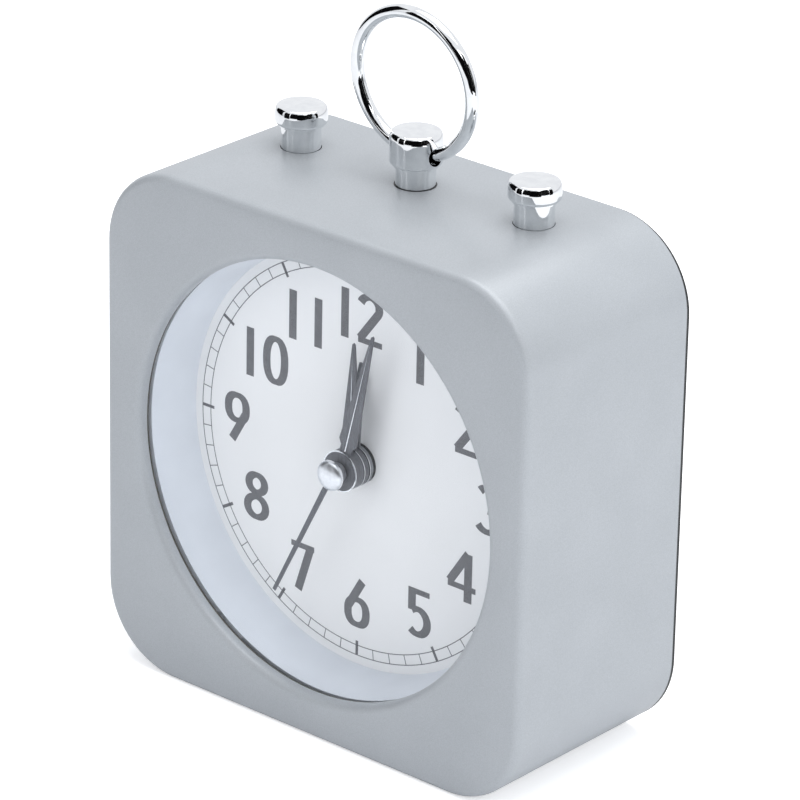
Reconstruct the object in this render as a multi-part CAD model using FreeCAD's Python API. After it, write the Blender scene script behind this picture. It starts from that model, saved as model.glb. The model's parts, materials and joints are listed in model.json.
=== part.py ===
import FreeCAD, Part
import math
import os

# Pendulette clock: a small square quartz alarm clock with a grey case,
# two chrome push buttons, a chrome centre post and a carry ring.
# Frame: X to the viewer's right, +Z up, the dial faces -Y.
# Origin: the middle of the footprint, on the surface that the clock stands on.
# All lengths are in millimetres and all angles in degrees.

V = FreeCAD.Vector
AXIS_X = V(1, 0, 0)
AXIS_Y = V(0, 1, 0)
AXIS_Z = V(0, 0, 1)

# General values
overrun = 1.0               # how far every cutting tool runs past the faces it cuts
same_point = 0.001          # two points nearer than this are one
running_gap = 0.05          # radial clearance of shafts, tubes and pivots
seat_gap = 0.15             # clearance round a part that drops into a recess
part_gap = 0.3              # air between neighbours that move past each other

# Case
case_width = 80.0
case_height = 80.0
total_depth = 35.7
case_corner_radius = 13.0
case_edge_radius = 1.2
case_wall = 2.0
front_wall = 1.8
bezel_width = 6.6           # front face left beside the round opening, at its narrowest
lip_radius = 1.25
edge_steps = 3              # straight steps that stand for each rounded edge
lip_steps = 4
root_overlap = 0.3          # how deep a post runs into the wall that carries it

# Back cover
flange_thickness = 0.6
flange_inset = 0.15
cover_thickness = 2.0
cover_edge_chamfer = 0.25

# Corner posts and the screws
post_inset = 9.0            # from the case's outer faces to a post's axis
post_base_width = 8.4
post_width = 5.2
post_hole_radius = 1.0
post_hole_depth = 9.0
screw_head_radius = 2.4
screw_head_height = 1.3
screw_shank_radius = 0.95
screw_length = 8.0
screw_slot_width = 0.6
screw_slot_depth = 0.6
screw_slot_share = 0.65     # reach of the cross slots, as a share of the head's radius
screw_sink = 0.3

# Stack behind the front wall
gasket_thickness = 0.4
gasket_reveal = 0.1         # the gasket's inner edge, outside the opening
gasket_width = 1.9
lens_thickness = 0.8
lens_seat = 1.8             # how far the lens reaches behind the front wall
ring_reveal = 0.2           # the ring's front edge, outside the opening
ring_taper = 1.2            # how far the ring closes in from the lens to the dial
ring_wall = 1.4             # the ring's thickness behind the lens
dial_depth = 11.3
dial_thickness = 0.5
dial_seat = 1.6             # how far the dial reaches behind the ring

# Movement housing
movement_width = 56.0
movement_top = 28.0         # above the hand axis
movement_bottom = 28.0      # below the hand axis
movement_wall = 1.2
movement_front_wall = 1.4
movement_corner_radius = 2.5
gear_case_back = 26.4       # depth where the gear chamber is closed by its plate
plate_thickness = 1.6
battery_case_back = 33.0
ear_reach = 3.6             # from a post's axis to the ear's outer edge
ear_thickness = 2.0
bush_radius = 3.0
bush_proud = 0.45

# Battery and its bay
battery_radius = 7.25
battery_length = 49.5
battery_nub_radius = 2.6
battery_nub_length = 1.0
battery_edge_chamfer = 0.6
battery_drop = 19.8         # battery axis below the hand axis
battery_depth = 24.0
bay_clearance = 0.35
bay_end_wall = 1.0
contact_thickness = 0.4
contact_bump = 0.3
contact_width = 9.0
contact_height = 11.0
leaf_width = 5.0
leaf_rise = 4.0             # half the height of the bent leaf

# Battery door in the back cover
door_width = 53.0
door_height = 18.0
door_thickness = 1.8
door_ledge = 1.2
door_pin_radius = 0.5
door_pin_length = 1.0
door_notch_radius = 5.0
door_notch_rise = 1.7       # above the door's upper edge
door_notch_depth = 0.9
door_rib_height = 0.3
door_rib_width = 0.8
door_rib_pitch = 1.8
door_rib_length = 12.0
door_rib_count = 4

# Coaxial arbors at the middle of the dial
second_arbor_radius = 0.45
tube_wall = 0.45

# Hands, measured forward from the face of the dial
hand_boss_radius = 3.1
hand_thickness = 0.25
alarm_hand_plane = 1.05
alarm_boss_front = 1.3
alarm_hand_length = 16.3
alarm_hand_width = 1.5
alarm_hand_angle = 3.2
hour_hand_plane = 2.1
hour_boss_front = 2.35
hour_boss_back = 1.5
hour_hand_length = 19.5
hour_hand_width = 3.3
hour_hand_angle = 1.3
minute_hand_plane = 3.9
minute_boss_front = 4.4
minute_boss_back = 2.6
minute_hand_length = 23.2
minute_hand_width = 3.3
minute_hand_angle = 13.9
hand_waist = 4.9            # where a blade's widest point lies, from the axis
hand_neck_width = 2.2
hand_tip_width = 0.5
hand_fold_share = 0.6       # rise of the pressed ridge as a share of the blade's thickness
second_collar_radius = 1.5
second_collar_back = 4.7
second_hand_plane = 5.9
second_hand_length = 24.5
second_hand_width = 1.0
second_hand_thickness = 0.2
second_tail_length = 2.0
second_hand_angle = 206.8
cap_radius = 2.2
cap_back = 6.25
cap_front = 7.4
cap_rim_height = 0.35
cap_steps = 3               # straight steps that stand for the cap's dome

# Wheels of the movement, by level of depth from the front of the case
wheel_thickness = 0.8
alarm_level = 13.6
hour_level = 14.8
motion_level = 16.0
centre_level = 17.2
third_level = 18.4
second_level = 19.6
step_level = 20.8
stator_level = 22.2

train_module = 0.25
centre_teeth = 64
third_pinion_teeth = 8
third_teeth = 60
second_pinion_teeth = 8
second_teeth = 60
step_pinion_teeth = 10
step_teeth = 40
rotor_pinion_teeth = 8
motion_module = 0.45
cannon_teeth = 12
motion_teeth = 36
motion_pinion_teeth = 10
hour_teeth = 40
time_pinion_teeth = 18
alarm_module = 0.45
alarm_teeth = 40
alarm_pinion_teeth = 28

addendum_share = 0.9        # tooth height above the pitch circle, as a share of the module
dedendum_share = 1.2        # tooth depth below the pitch circle, as a share of the module
tooth_root_share = 0.52     # tooth width at its root, as a share of the tooth pitch
tooth_tip_share = 0.22      # tooth width at its tip, as a share of the tooth pitch

third_angle = 100.0         # directions from the hand axis, anticlockwise from +X
motion_angle = 155.0
time_knob_angle = 210.0     # from the motion wheel's axis
alarm_knob_angle = -5.6
step_angle = 35.0
rotor_angle = 70.0          # from the step wheel's axis

wheel_post_radius = 0.5
motion_post_radius = 0.7
rotor_pin_radius = 0.35
magnet_radius = 2.6
magnet_thickness = 1.4

# Motor
stator_thickness = 0.8
stator_length = 18.0
stator_height = 7.6
stator_hole_gap = 0.4
stator_arm_width = 4.0
stator_arm_height = 12.0
coil_radius = 3.2
coil_flange_width = 7.0
coil_flange_thickness = 0.8
coil_core_height = 2.4
coil_core_thickness = 1.2
pillar_width = 2.6

# Circuit board, its chip, the alarm switch and the buzzer
board_width = 26.0
board_bottom = 9.0          # below the hand axis
board_top = 25.0            # above the hand axis
board_thickness = 1.0
board_standoff = 0.4
standoff_width = 3.2
chip_width = 6.0
chip_height = 0.9
switch_body_width = 8.6
switch_body_height = 4.0
switch_body_depth = 1.2
switch_travel = 3.0
switch_knob_width = 3.0
switch_knob_height = 3.2
switch_stem_width = 1.8
switch_stem_height = 1.6
switch_slot_gap = 0.3
switch_rib_width = 0.4
switch_rib_pitch = 0.85
buzzer_radius = 9.0
buzzer_height = 3.2
buzzer_x = 18.0
buzzer_rise = 17.5          # above the hand axis
sound_slot_width = 1.0
sound_slot_length = 8.0
sound_slot_pitch = 2.4
sound_slot_count = 4

# Control pocket in the back cover
pocket_length = 54.0
pocket_height = 14.0
pocket_depth = 3.4
pocket_floor = 1.4
knob_radius = 5.2
knob_height = 2.7
knob_grip_depth = 0.35
knob_grip_count = 24
knob_shaft_radius = 1.0

# Studs on the roof, measured up from the roof
stud_depth = 22.35
stud_inset = 18.0           # from the case's side to an outer stud's axis
stud_neck_radius = 2.95
stud_head_radius = 3.8
stud_skirt_radius = 3.35
stud_head_top = 6.15
stud_head_bottom = 3.9
stud_skirt_height = 0.45
stud_curve_height = 0.75
stud_top_radius = 0.5
post_head_top = 7.85
post_head_bottom = 3.5
stud_hole_gap = 0.1
button_flange_radius = 3.6
button_flange_thickness = 1.0
button_stop_gap = 0.1
button_tip_radius = 1.5
button_tip_bottom = 6.1     # below the roof's outer face
key_dome_height = 3.6
key_dome_radius = 3.1
key_dome_wall = 0.5
key_board_end = 3.5         # board left beyond a button's axis
key_board_depth = 9.0
key_board_thickness = 1.2
key_pad_width = 2.6
key_pad_height = 0.9
key_post_offset = 11.0
key_post_width = 4.0
key_pin_width = 1.8
key_pin_proud = 0.5
centre_shank_radius = 1.8
centre_shank_length = 6.0
washer_radius = 3.6
washer_thickness = 0.5
nut_flats = 6.4
nut_thickness = 2.4
nut_sides = 6

# Carry ring
ring_mean_radius = 10.75
ring_wire_radius = 1.0
ring_wire_sides = 10
ring_hole_radius = 1.6
ring_hole_height = 5.15     # above the roof
ring_lean = 4.0             # forward, from upright

# Places worked out from the sizes above
opening_radius = min(case_width, case_height) / 2 - bezel_width
gasket_inner_radius = opening_radius + gasket_reveal
gasket_outer_radius = gasket_inner_radius + gasket_width
lens_radius = opening_radius + lens_seat
ring_front_radius = opening_radius + ring_reveal
ring_back_radius = ring_front_radius - ring_taper
ring_outer_radius = ring_front_radius + ring_wall
dial_radius = ring_back_radius + dial_seat
post_x = case_width / 2 - post_inset
post_z = case_height / 2 - post_inset
stud_offset = case_width / 2 - stud_inset
key_board_width = 2 * (stud_offset + key_board_end)
face_y = -total_depth / 2
axis_z = case_height / 2
roof_z = case_height
case_back = total_depth - flange_thickness
cover_inner = case_back - cover_thickness
lens_front = front_wall + gasket_thickness
ring_front = lens_front + lens_thickness
dial_back = dial_depth + dial_thickness
housing_inner = dial_back + movement_front_wall
battery_z = axis_z - battery_drop
bay_radius = battery_radius + bay_clearance
battery_end = movement_width / 2 - bay_end_wall - contact_thickness - contact_bump
bay_top = -battery_drop + bay_radius + movement_wall
minute_tube_inner = second_arbor_radius + running_gap
minute_tube_outer = minute_tube_inner + tube_wall
hour_tube_inner = minute_tube_outer + running_gap
hour_tube_outer = hour_tube_inner + tube_wall
alarm_tube_inner = hour_tube_outer + running_gap
alarm_tube_outer = alarm_tube_inner + tube_wall
bush_bore = alarm_tube_outer + running_gap
third_distance = train_module * (centre_teeth + third_pinion_teeth) / 2
third_module = third_distance * 2 / (third_teeth + second_pinion_teeth)
step_distance = train_module * (second_teeth + step_pinion_teeth) / 2
rotor_distance = train_module * (step_teeth + rotor_pinion_teeth) / 2
motion_distance = motion_module * (cannon_teeth + motion_teeth) / 2
hour_module = motion_distance * 2 / (hour_teeth + motion_pinion_teeth)
time_distance = motion_module * (motion_teeth + time_pinion_teeth) / 2
alarm_distance = alarm_module * (alarm_teeth + alarm_pinion_teeth) / 2
pocket_back = total_depth - pocket_depth
pocket_inner = pocket_back - pocket_floor
door_bottom = battery_z - door_height / 2
key_board_top = roof_z - button_tip_bottom - key_dome_height


def polar(distance, angle, start=(0, 0)):
    """A point in the dial's plane, as an (x, height above the hand axis) pair."""
    turn = math.radians(angle)
    return (start[0] + distance * math.cos(turn), start[1] + distance * math.sin(turn))


centre_place = (0, 0)
third_place = polar(third_distance, third_angle)
motion_place = polar(motion_distance, motion_angle)
time_place = polar(time_distance, time_knob_angle, motion_place)
alarm_place = polar(alarm_distance, alarm_knob_angle)
step_place = polar(step_distance, step_angle)
rotor_place = polar(rotor_distance, rotor_angle, step_place)
pocket_rise = time_place[1]


def at(place, depth):
    """The point at a place in the dial's plane and a depth behind the front face."""
    return V(place[0], face_y + depth, axis_z + place[1])


def disc(place, depth, radius, length):
    """A round bar along the clock's depth."""
    return Part.makeCylinder(radius, length, at(place, depth), AXIS_Y)


def tube(place, depth, outer, inner, length):
    bore = disc(place, depth - overrun, inner, length + 2 * overrun)
    return disc(place, depth, outer, length).cut(bore)


def block(x0, x1, depth0, depth1, z0, z1):
    return Part.makeBox(x1 - x0, depth1 - depth0, z1 - z0, V(x0, face_y + depth0, z0))


def round_wire(width, height, radius, depth, centre_x, centre_z):
    """The closed outline of a rounded rectangle at one depth."""
    y = face_y + depth
    dx = width / 2 - radius
    dz = height / 2 - radius
    half = radius * math.sqrt(0.5)
    arcs = []
    ends = []
    for index, (sx, sz) in enumerate(((1, 1), (-1, 1), (-1, -1), (1, -1))):
        middle = V(centre_x + sx * dx, y, centre_z + sz * dz)
        side = middle + V(sx * radius, 0, 0)
        cap = middle + V(0, 0, sz * radius)
        start, end = (side, cap) if index % 2 == 0 else (cap, side)
        arcs.append(Part.Arc(start, middle + V(sx * half, 0, sz * half), end).toShape())
        ends.append((start, end))
    outline = []
    for index in range(4):
        outline.append(arcs[index])
        leave = ends[index][1]
        arrive = ends[(index + 1) % 4][0]
        if not leave.isEqual(arrive, same_point):
            outline.append(Part.makeLine(leave, arrive))
    return Part.Wire(outline)


def round_block(width, height, radius, depth0, depth1, centre_x, centre_z):
    """A plate with rounded corners, extruded along the clock's depth."""
    outline = round_wire(width, height, radius, depth0, centre_x, centre_z)
    return Part.Face(outline).extrude(V(0, depth1 - depth0, 0))


def square_bar(place, depth, width, length):
    """A square bar along the clock's depth."""
    half = width / 2
    z = axis_z + place[1]
    return block(place[0] - half, place[0] + half, depth, depth + length, z - half, z + half)


def rounding(radius, steps):
    """The (inset, depth) points of a rounded front edge, in straight steps from face to side."""
    turns = [math.pi / 2 * step / steps for step in range(steps + 1)]
    return [(radius * (1 - math.sin(turn)), radius * (1 - math.cos(turn))) for turn in turns]


def revolve_y(points, place=(0, 0)):
    """Turn a closed outline of (radius, depth) points about an axis along the depth."""
    outline = [V(place[0] + r, face_y + d, axis_z + place[1]) for r, d in points]
    face = Part.Face(Part.makePolygon(outline + outline[:1]))
    return face.revolve(at(place, 0), AXIS_Y, 360)


def edges_on_y(shape, depth, inner=0, outer=None):
    """Edges that lie flat at one depth, with their middle between two distances from the axis."""
    found = []
    for edge in shape.Edges:
        box = edge.BoundBox
        flat = abs(box.YMin - face_y - depth) < running_gap and box.YLength < running_gap
        point = edge.valueAt((edge.FirstParameter + edge.LastParameter) / 2)
        reach = math.hypot(point.x, point.z - axis_z)
        if flat and reach >= inner and (outer is None or reach <= outer):
            found.append(edge)
    return found


def four_corners():
    return [(sx * post_x, sz * post_z) for sx in (-1, 1) for sz in (-1, 1)]


def gear(place, depth, teeth, module, bore, tooth_angle, length):
    """A spur wheel or pinion with a tooth centred on the given direction."""
    pitch_radius = teeth * module / 2
    tip = pitch_radius + addendum_share * module
    root = pitch_radius - dedendum_share * module
    step = 2 * math.pi / teeth
    first = math.radians(tooth_angle)
    profile = ((-tooth_root_share, root), (-tooth_tip_share, tip), (tooth_tip_share, tip),
               (tooth_root_share, root))
    points = []
    for tooth in range(teeth):
        for share, radius in profile:
            turn = first + (tooth + share / 2) * step
            points.append(at((place[0] + radius * math.cos(turn), place[1] + radius * math.sin(turn)),
                             depth))
    wheel = Part.Face(Part.makePolygon(points + points[:1])).extrude(V(0, length, 0))
    return wheel.cut(disc(place, depth - overrun, bore, length + 2 * overrun))


def gap_angle(teeth, direction):
    """Direction of a tooth, for a wheel whose gap lies on the given direction."""
    return direction + 180 / teeth


def fuse(shapes):
    body = shapes[0].fuse(shapes[1:]) if len(shapes) > 1 else shapes[0]
    return body.removeSplitter()


def make_case_shell():
    bands = []
    for inset, depth in rounding(case_edge_radius, edge_steps):
        width = case_width - 2 * inset
        height = case_height - 2 * inset
        bands.append(round_wire(width, height, case_corner_radius - inset, depth, 0, axis_z))
    front = Part.makeLoft(bands, True, True)
    sides = round_block(case_width, case_height, case_corner_radius, case_edge_radius, case_back, 0, axis_z)
    inner_width = case_width - 2 * case_wall
    inner_height = case_height - 2 * case_wall
    inner_radius = case_corner_radius - case_wall
    hollow = round_block(inner_width, inner_height, inner_radius, front_wall, case_back + overrun, 0,
                         axis_z)
    lip = [(opening_radius + inset, depth) for inset, depth in rounding(lip_radius, lip_steps)]
    mouth = [(0, -overrun), (opening_radius + lip_radius, -overrun)] + lip
    mouth += [(opening_radius, front_wall + overrun), (0, front_wall + overrun)]
    shell = front.fuse(sides).cut([hollow, revolve_y(mouth)])
    posts = []
    for corner in four_corners():
        posts.append(square_bar(corner, front_wall - root_overlap, post_base_width,
                                dial_back - front_wall + root_overlap))
        posts.append(square_bar(corner, dial_back - root_overlap, post_width,
                                cover_inner - dial_back + root_overlap))
    for side in (-1, 1):
        posts.append(key_post(side))
    shell = fuse([shell] + posts)
    holes = []
    for corner in four_corners():
        holes.append(disc(corner, cover_inner - post_hole_depth, post_hole_radius,
                          post_hole_depth + overrun))
    for x in (-stud_offset, stud_offset):
        holes.append(roof_hole(x, stud_neck_radius + stud_hole_gap))
    holes.append(roof_hole(0, centre_shank_radius + stud_hole_gap))
    return shell.cut(holes)


def stud_point(x, rise):
    """A point on a stud's axis, at a rise above the roof."""
    return V(x, face_y + stud_depth, roof_z + rise)


def roof_hole(x, radius):
    return Part.makeCylinder(radius, case_wall + 2 * overrun, stud_point(x, -case_wall - overrun), AXIS_Z)


def key_post(side):
    """A post under the roof that carries the key board, with a pin through the board."""
    top = roof_z - case_wall + root_overlap
    place_x = side * key_post_offset
    post = upright(place_x, key_post_width, key_board_top, top)
    pin = upright(place_x, key_pin_width, key_board_top - key_board_thickness - key_pin_proud, top)
    return post.fuse(pin)


def upright(x, width, z0, z1):
    """A square upright in the plane of the studs."""
    return block(x - width / 2, x + width / 2, stud_depth - width / 2, stud_depth + width / 2, z0, z1)


def make_lens_gasket():
    return tube(centre_place, front_wall, gasket_outer_radius, gasket_inner_radius, gasket_thickness)


def make_lens():
    return disc(centre_place, lens_front, lens_radius, lens_thickness)


def make_dial_ring():
    return revolve_y([
        (ring_front_radius, ring_front),
        (ring_outer_radius, ring_front),
        (ring_outer_radius, dial_depth),
        (ring_back_radius, dial_depth),
    ])


def make_dial():
    return tube(centre_place, dial_depth, dial_radius, bush_radius + running_gap, dial_thickness)


def make_movement_housing():
    low = axis_z - movement_bottom
    high = axis_z + movement_top
    height = high - low
    middle = (low + high) / 2
    split = axis_z + bay_top
    body = round_block(movement_width, height, movement_corner_radius, dial_back, battery_case_back, 0,
                       middle)
    above = block(-movement_width, movement_width, gear_case_back, battery_case_back + overrun, split,
                  high + overrun)
    body = body.cut(above)
    ears = []
    for corner in four_corners():
        ears.append(make_ear(corner, middle, height / 2))
    ears.append(disc(centre_place, dial_depth - bush_proud, bush_radius,
                     dial_back - dial_depth + bush_proud + movement_front_wall))
    ears.append(disc(motion_place, dial_back, motion_post_radius,
                     motion_level + wheel_thickness - dial_back))
    half = movement_width / 2 - movement_wall
    gears = block(-half, half, housing_inner, gear_case_back + overrun, split + movement_wall,
                  high - movement_wall)
    bay_half = movement_width / 2 - bay_end_wall
    trough = Part.makeCylinder(bay_radius, 2 * bay_half, V(-bay_half, face_y + battery_depth, battery_z),
                               AXIS_X)
    mouth = block(-bay_half, bay_half, battery_depth, battery_case_back + overrun, battery_z - bay_radius,
                  battery_z + bay_radius)
    body = body.cut([gears, trough, mouth])
    body = fuse([body] + ears)
    holes = [disc(centre_place, 0, bush_bore, gear_case_back)]
    for corner in four_corners():
        holes.append(square_bar(corner, 0, post_width + 2 * seat_gap, gear_case_back))
    return body.cut(holes)


def make_ear(corner, middle, half_height):
    """A corner ear that drops over its post, running into the housing's corner."""
    inner_x = math.copysign(movement_width / 2 - movement_corner_radius, corner[0])
    inner_z = middle + math.copysign(half_height - movement_corner_radius, corner[1])
    outer_x = corner[0] + math.copysign(ear_reach, corner[0])
    outer_z = axis_z + corner[1] + math.copysign(ear_reach, corner[1])
    return block(min(inner_x, outer_x), max(inner_x, outer_x), dial_back, dial_back + ear_thickness,
                 min(inner_z, outer_z), max(inner_z, outer_z))


def make_movement_plate():
    low = axis_z + bay_top
    high = axis_z + movement_top
    plate = round_block(movement_width, high - low, movement_corner_radius, gear_case_back,
                        gear_case_back + plate_thickness, 0, (low + high) / 2)
    extras = []
    for place, level, radius in (
            (third_place, centre_level, wheel_post_radius),
            (step_place, second_level, wheel_post_radius),
            (rotor_place, step_level, rotor_pin_radius)):
        extras.append(disc(place, level, radius, gear_case_back - level + plate_thickness / 2))
    for place in stator_pillars():
        start = stator_level + stator_thickness
        extras.append(square_bar(place, start, pillar_width, gear_case_back - start + plate_thickness / 2))
    for place in board_standoffs():
        start = gear_case_back + plate_thickness / 2
        extras.append(square_bar(place, start, standoff_width, plate_thickness / 2 + board_standoff))
    plate = fuse([plate] + extras)
    span = plate_thickness + 2 * overrun
    start = gear_case_back - overrun
    holes = [
        disc(time_place, start, knob_shaft_radius + running_gap, span),
        disc(alarm_place, start, knob_shaft_radius + running_gap, span),
        disc(centre_place, start, second_arbor_radius + running_gap, span),
    ]
    return plate.cut(holes)


def stator_pillars():
    reach = stator_length / 2 - stator_arm_width / 2
    return [(rotor_place[0] + side * reach, rotor_place[1]) for side in (-1, 1)]


def board_standoffs():
    half = standoff_width / 2
    rises = (half - board_bottom, board_top - half)
    return [(side * (board_width / 2 - half), rise) for side in (-1, 1) for rise in rises]


def make_circuit_board():
    start = gear_case_back + plate_thickness + board_standoff
    half = board_width / 2
    board = block(-half, half, start, start + board_thickness, axis_z - board_bottom, axis_z + board_top)
    chip = square_bar((0, board_top / 2), start, chip_width, board_thickness + chip_height)
    return fuse([board, chip])


def make_switch_body():
    """The fixed can of the alarm switch, open at the back for the slider's stem."""
    start = gear_case_back + plate_thickness + board_standoff + board_thickness
    z = axis_z + pocket_rise
    half_w = switch_body_width / 2
    half_h = switch_body_height / 2
    can = block(-half_w, half_w, start, start + switch_body_depth, z - half_h, z + half_h)
    slot_w = (switch_stem_width + switch_travel) / 2 + switch_slot_gap
    slot_h = switch_stem_height / 2 + switch_slot_gap
    slot = block(-slot_w, slot_w, start + switch_body_depth / 3, start + switch_body_depth + overrun,
                 z - slot_h, z + slot_h)
    return can.cut(slot)


def make_alarm_switch():
    """The slider: a ribbed thumb piece in the pocket, with a stem into the switch body."""
    z = axis_z + pocket_rise
    x = -switch_travel / 2
    start = gear_case_back + plate_thickness + board_standoff + board_thickness + switch_body_depth / 2
    knob_front = pocket_back + seat_gap
    knob_back = knob_front + knob_height / 2
    half_w = switch_knob_width / 2
    half_h = switch_knob_height / 2
    thumb = block(x - half_w, x + half_w, knob_front, knob_back, z - half_h, z + half_h)
    grooves = []
    for step in (-1, 0, 1):
        middle = x + step * switch_rib_pitch
        cut_w = switch_rib_width / 2
        grooves.append(block(middle - cut_w, middle + cut_w, knob_back - switch_rib_width,
                             knob_back + overrun, z - half_h - overrun, z + half_h + overrun))
    stem = block(x - switch_stem_width / 2, x + switch_stem_width / 2, start, knob_front + switch_rib_width,
                 z - switch_stem_height / 2, z + switch_stem_height / 2)
    return fuse([thumb.cut(grooves), stem])


def make_stator():
    x, rise = rotor_place
    half = stator_length / 2
    back = stator_level + stator_thickness
    bar = block(x - half, x + half, stator_level, back, axis_z + rise - stator_height / 2,
                axis_z + rise + stator_height / 2)
    pieces = [bar]
    for side in (-1, 1):
        outer = x + side * half
        inner = outer - side * stator_arm_width
        pieces.append(block(min(outer, inner), max(outer, inner), stator_level, back, axis_z + rise,
                            axis_z + rise + stator_arm_height))
    hole = disc(rotor_place, stator_level - overrun, magnet_radius + stator_hole_gap,
                stator_thickness + 2 * overrun)
    return fuse(pieces).cut(hole)


def make_coil():
    """Core bar, bobbin and winding, across the tops of the stator's arms."""
    x, rise = rotor_place
    half = stator_length / 2
    top = axis_z + rise + stator_arm_height
    core_front = stator_level - coil_core_thickness
    core = block(x - half, x + half, core_front, stator_level, top - coil_core_height, top)
    centre_y = face_y + stator_level - coil_core_thickness / 2
    centre_z = top - coil_core_height / 2
    span = stator_length - 2 * stator_arm_width
    pieces = [core, Part.makeCylinder(coil_radius, span, V(x - span / 2, centre_y, centre_z), AXIS_X)]
    half_flange = coil_flange_width / 2
    depth = stator_level - coil_core_thickness / 2
    for start in (x - span / 2, x + span / 2 - coil_flange_thickness):
        pieces.append(block(start, start + coil_flange_thickness, depth - half_flange, depth + half_flange,
                            centre_z - half_flange, centre_z + half_flange))
    return fuse(pieces)


def make_rotor():
    bore = rotor_pin_radius + running_gap
    magnet_front = stator_level + stator_thickness / 2 - magnet_thickness / 2
    pinion = gear(rotor_place, step_level, rotor_pinion_teeth, train_module, bore,
                  gap_angle(rotor_pinion_teeth, rotor_angle + 180), magnet_front - step_level)
    magnet = tube(rotor_place, magnet_front, magnet_radius, bore, magnet_thickness)
    return fuse([pinion, magnet])


def make_step_wheel():
    bore = wheel_post_radius + running_gap
    pinion = gear(step_place, second_level, step_pinion_teeth, train_module, bore,
                  gap_angle(step_pinion_teeth, step_angle + 180), step_level - second_level)
    wheel = gear(step_place, step_level, step_teeth, train_module, bore, rotor_angle, wheel_thickness)
    return fuse([pinion, wheel])


def make_second_wheel():
    """The seconds wheel, its pinion and the long arbor that carries the second hand."""
    arbor_front = dial_depth - cap_back
    arbor_back = gear_case_back + plate_thickness / 2
    arbor = disc(centre_place, arbor_front, second_arbor_radius, arbor_back - arbor_front)
    bore = second_arbor_radius / 2
    wheel = gear(centre_place, second_level, second_teeth, train_module, bore, step_angle, wheel_thickness)
    pinion = gear(centre_place, third_level, second_pinion_teeth, third_module, bore,
                  gap_angle(second_pinion_teeth, third_angle), second_level - third_level)
    return fuse([arbor, wheel, pinion])


def make_third_wheel():
    bore = wheel_post_radius + running_gap
    pinion = gear(third_place, centre_level, third_pinion_teeth, train_module, bore,
                  gap_angle(third_pinion_teeth, third_angle + 180), third_level - centre_level)
    wheel = gear(third_place, third_level, third_teeth, third_module, bore, third_angle + 180,
                 wheel_thickness)
    return fuse([pinion, wheel])


def make_centre_wheel():
    """The centre wheel, the cannon pinion and the tube that carries the minute hand."""
    bore = minute_tube_inner
    wheel = gear(centre_place, centre_level, centre_teeth, train_module, bore, third_angle, wheel_thickness)
    pinion = gear(centre_place, motion_level, cannon_teeth, motion_module, bore,
                  gap_angle(cannon_teeth, motion_angle), centre_level - motion_level)
    tube_front = dial_depth - minute_boss_front
    sleeve = tube(centre_place, tube_front, minute_tube_outer, bore,
                  centre_level + wheel_thickness - tube_front)
    return fuse([wheel, pinion, sleeve])


def make_motion_wheel():
    bore = motion_post_radius + running_gap
    wheel = gear(motion_place, motion_level, motion_teeth, motion_module, bore, motion_angle + 180,
                 wheel_thickness)
    pinion = gear(motion_place, hour_level, motion_pinion_teeth, hour_module, bore,
                  gap_angle(motion_pinion_teeth, motion_angle + 180), motion_level - hour_level)
    return fuse([wheel, pinion])


def make_hour_wheel():
    wheel = gear(centre_place, hour_level, hour_teeth, hour_module, hour_tube_inner, motion_angle,
                 wheel_thickness)
    tube_front = dial_depth - hour_boss_front
    sleeve = tube(centre_place, tube_front, hour_tube_outer, hour_tube_inner,
                  hour_level + wheel_thickness - tube_front)
    return fuse([wheel, sleeve])


def make_alarm_wheel():
    wheel = gear(centre_place, alarm_level, alarm_teeth, alarm_module, alarm_tube_inner, alarm_knob_angle,
                 wheel_thickness)
    tube_front = dial_depth - alarm_boss_front
    sleeve = tube(centre_place, tube_front, alarm_tube_outer, alarm_tube_inner,
                  alarm_level + wheel_thickness - tube_front)
    return fuse([wheel, sleeve])


def hand_blade(length, width, plane):
    """A pressed blade that points up: a waisted neck, a long taper and a ridge down the middle."""
    back = dial_depth - plane
    neck = hand_neck_width / 2
    half = width / 2
    tip = hand_tip_width / 2
    outline = [
        (0, 0), (neck, 0), (neck, hand_waist - half / 2), (half, hand_waist),
        (tip, length - tip), (0, length),
        (-tip, length - tip), (-half, hand_waist), (-neck, hand_waist - half / 2), (-neck, 0),
    ]
    face = Part.Face(Part.makePolygon([at(point, back) for point in outline + outline[:1]]))
    blade = face.extrude(V(0, -hand_thickness, 0))
    rise = hand_fold_share * hand_thickness
    front = back - hand_thickness
    foot_left = at((-half, hand_waist), front)
    foot_right = at((half, hand_waist), front)
    ridge_foot = at((0, hand_waist), front - rise)
    point = at((0, length - hand_tip_width), front)
    faces = [
        Part.Face(Part.makePolygon([foot_left, foot_right, ridge_foot, foot_left])),
        Part.Face(Part.makePolygon([foot_left, ridge_foot, point, foot_left])),
        Part.Face(Part.makePolygon([ridge_foot, foot_right, point, ridge_foot])),
        Part.Face(Part.makePolygon([foot_left, foot_right, point, foot_left])),
    ]
    ridge = Part.Solid(Part.Shell(faces))
    if ridge.Volume < 0:
        ridge.reverse()
    return blade, ridge


def turned(shape, angle):
    """Turn a hand clockwise about the hand axis, as seen from the front."""
    copy = shape.copy()
    copy.rotate(V(0, 0, axis_z), AXIS_Y, angle)
    return copy


def make_hand(length, width, plane, boss_back, boss_front, bore, angle):
    blade, ridge = hand_blade(length, width, plane)
    boss = disc(centre_place, dial_depth - boss_front, hand_boss_radius, boss_front - boss_back)
    hole = disc(centre_place, 0, bore, dial_depth)
    hand = fuse([blade, ridge, boss]).cut(hole)
    return turned(hand, angle)


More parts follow.
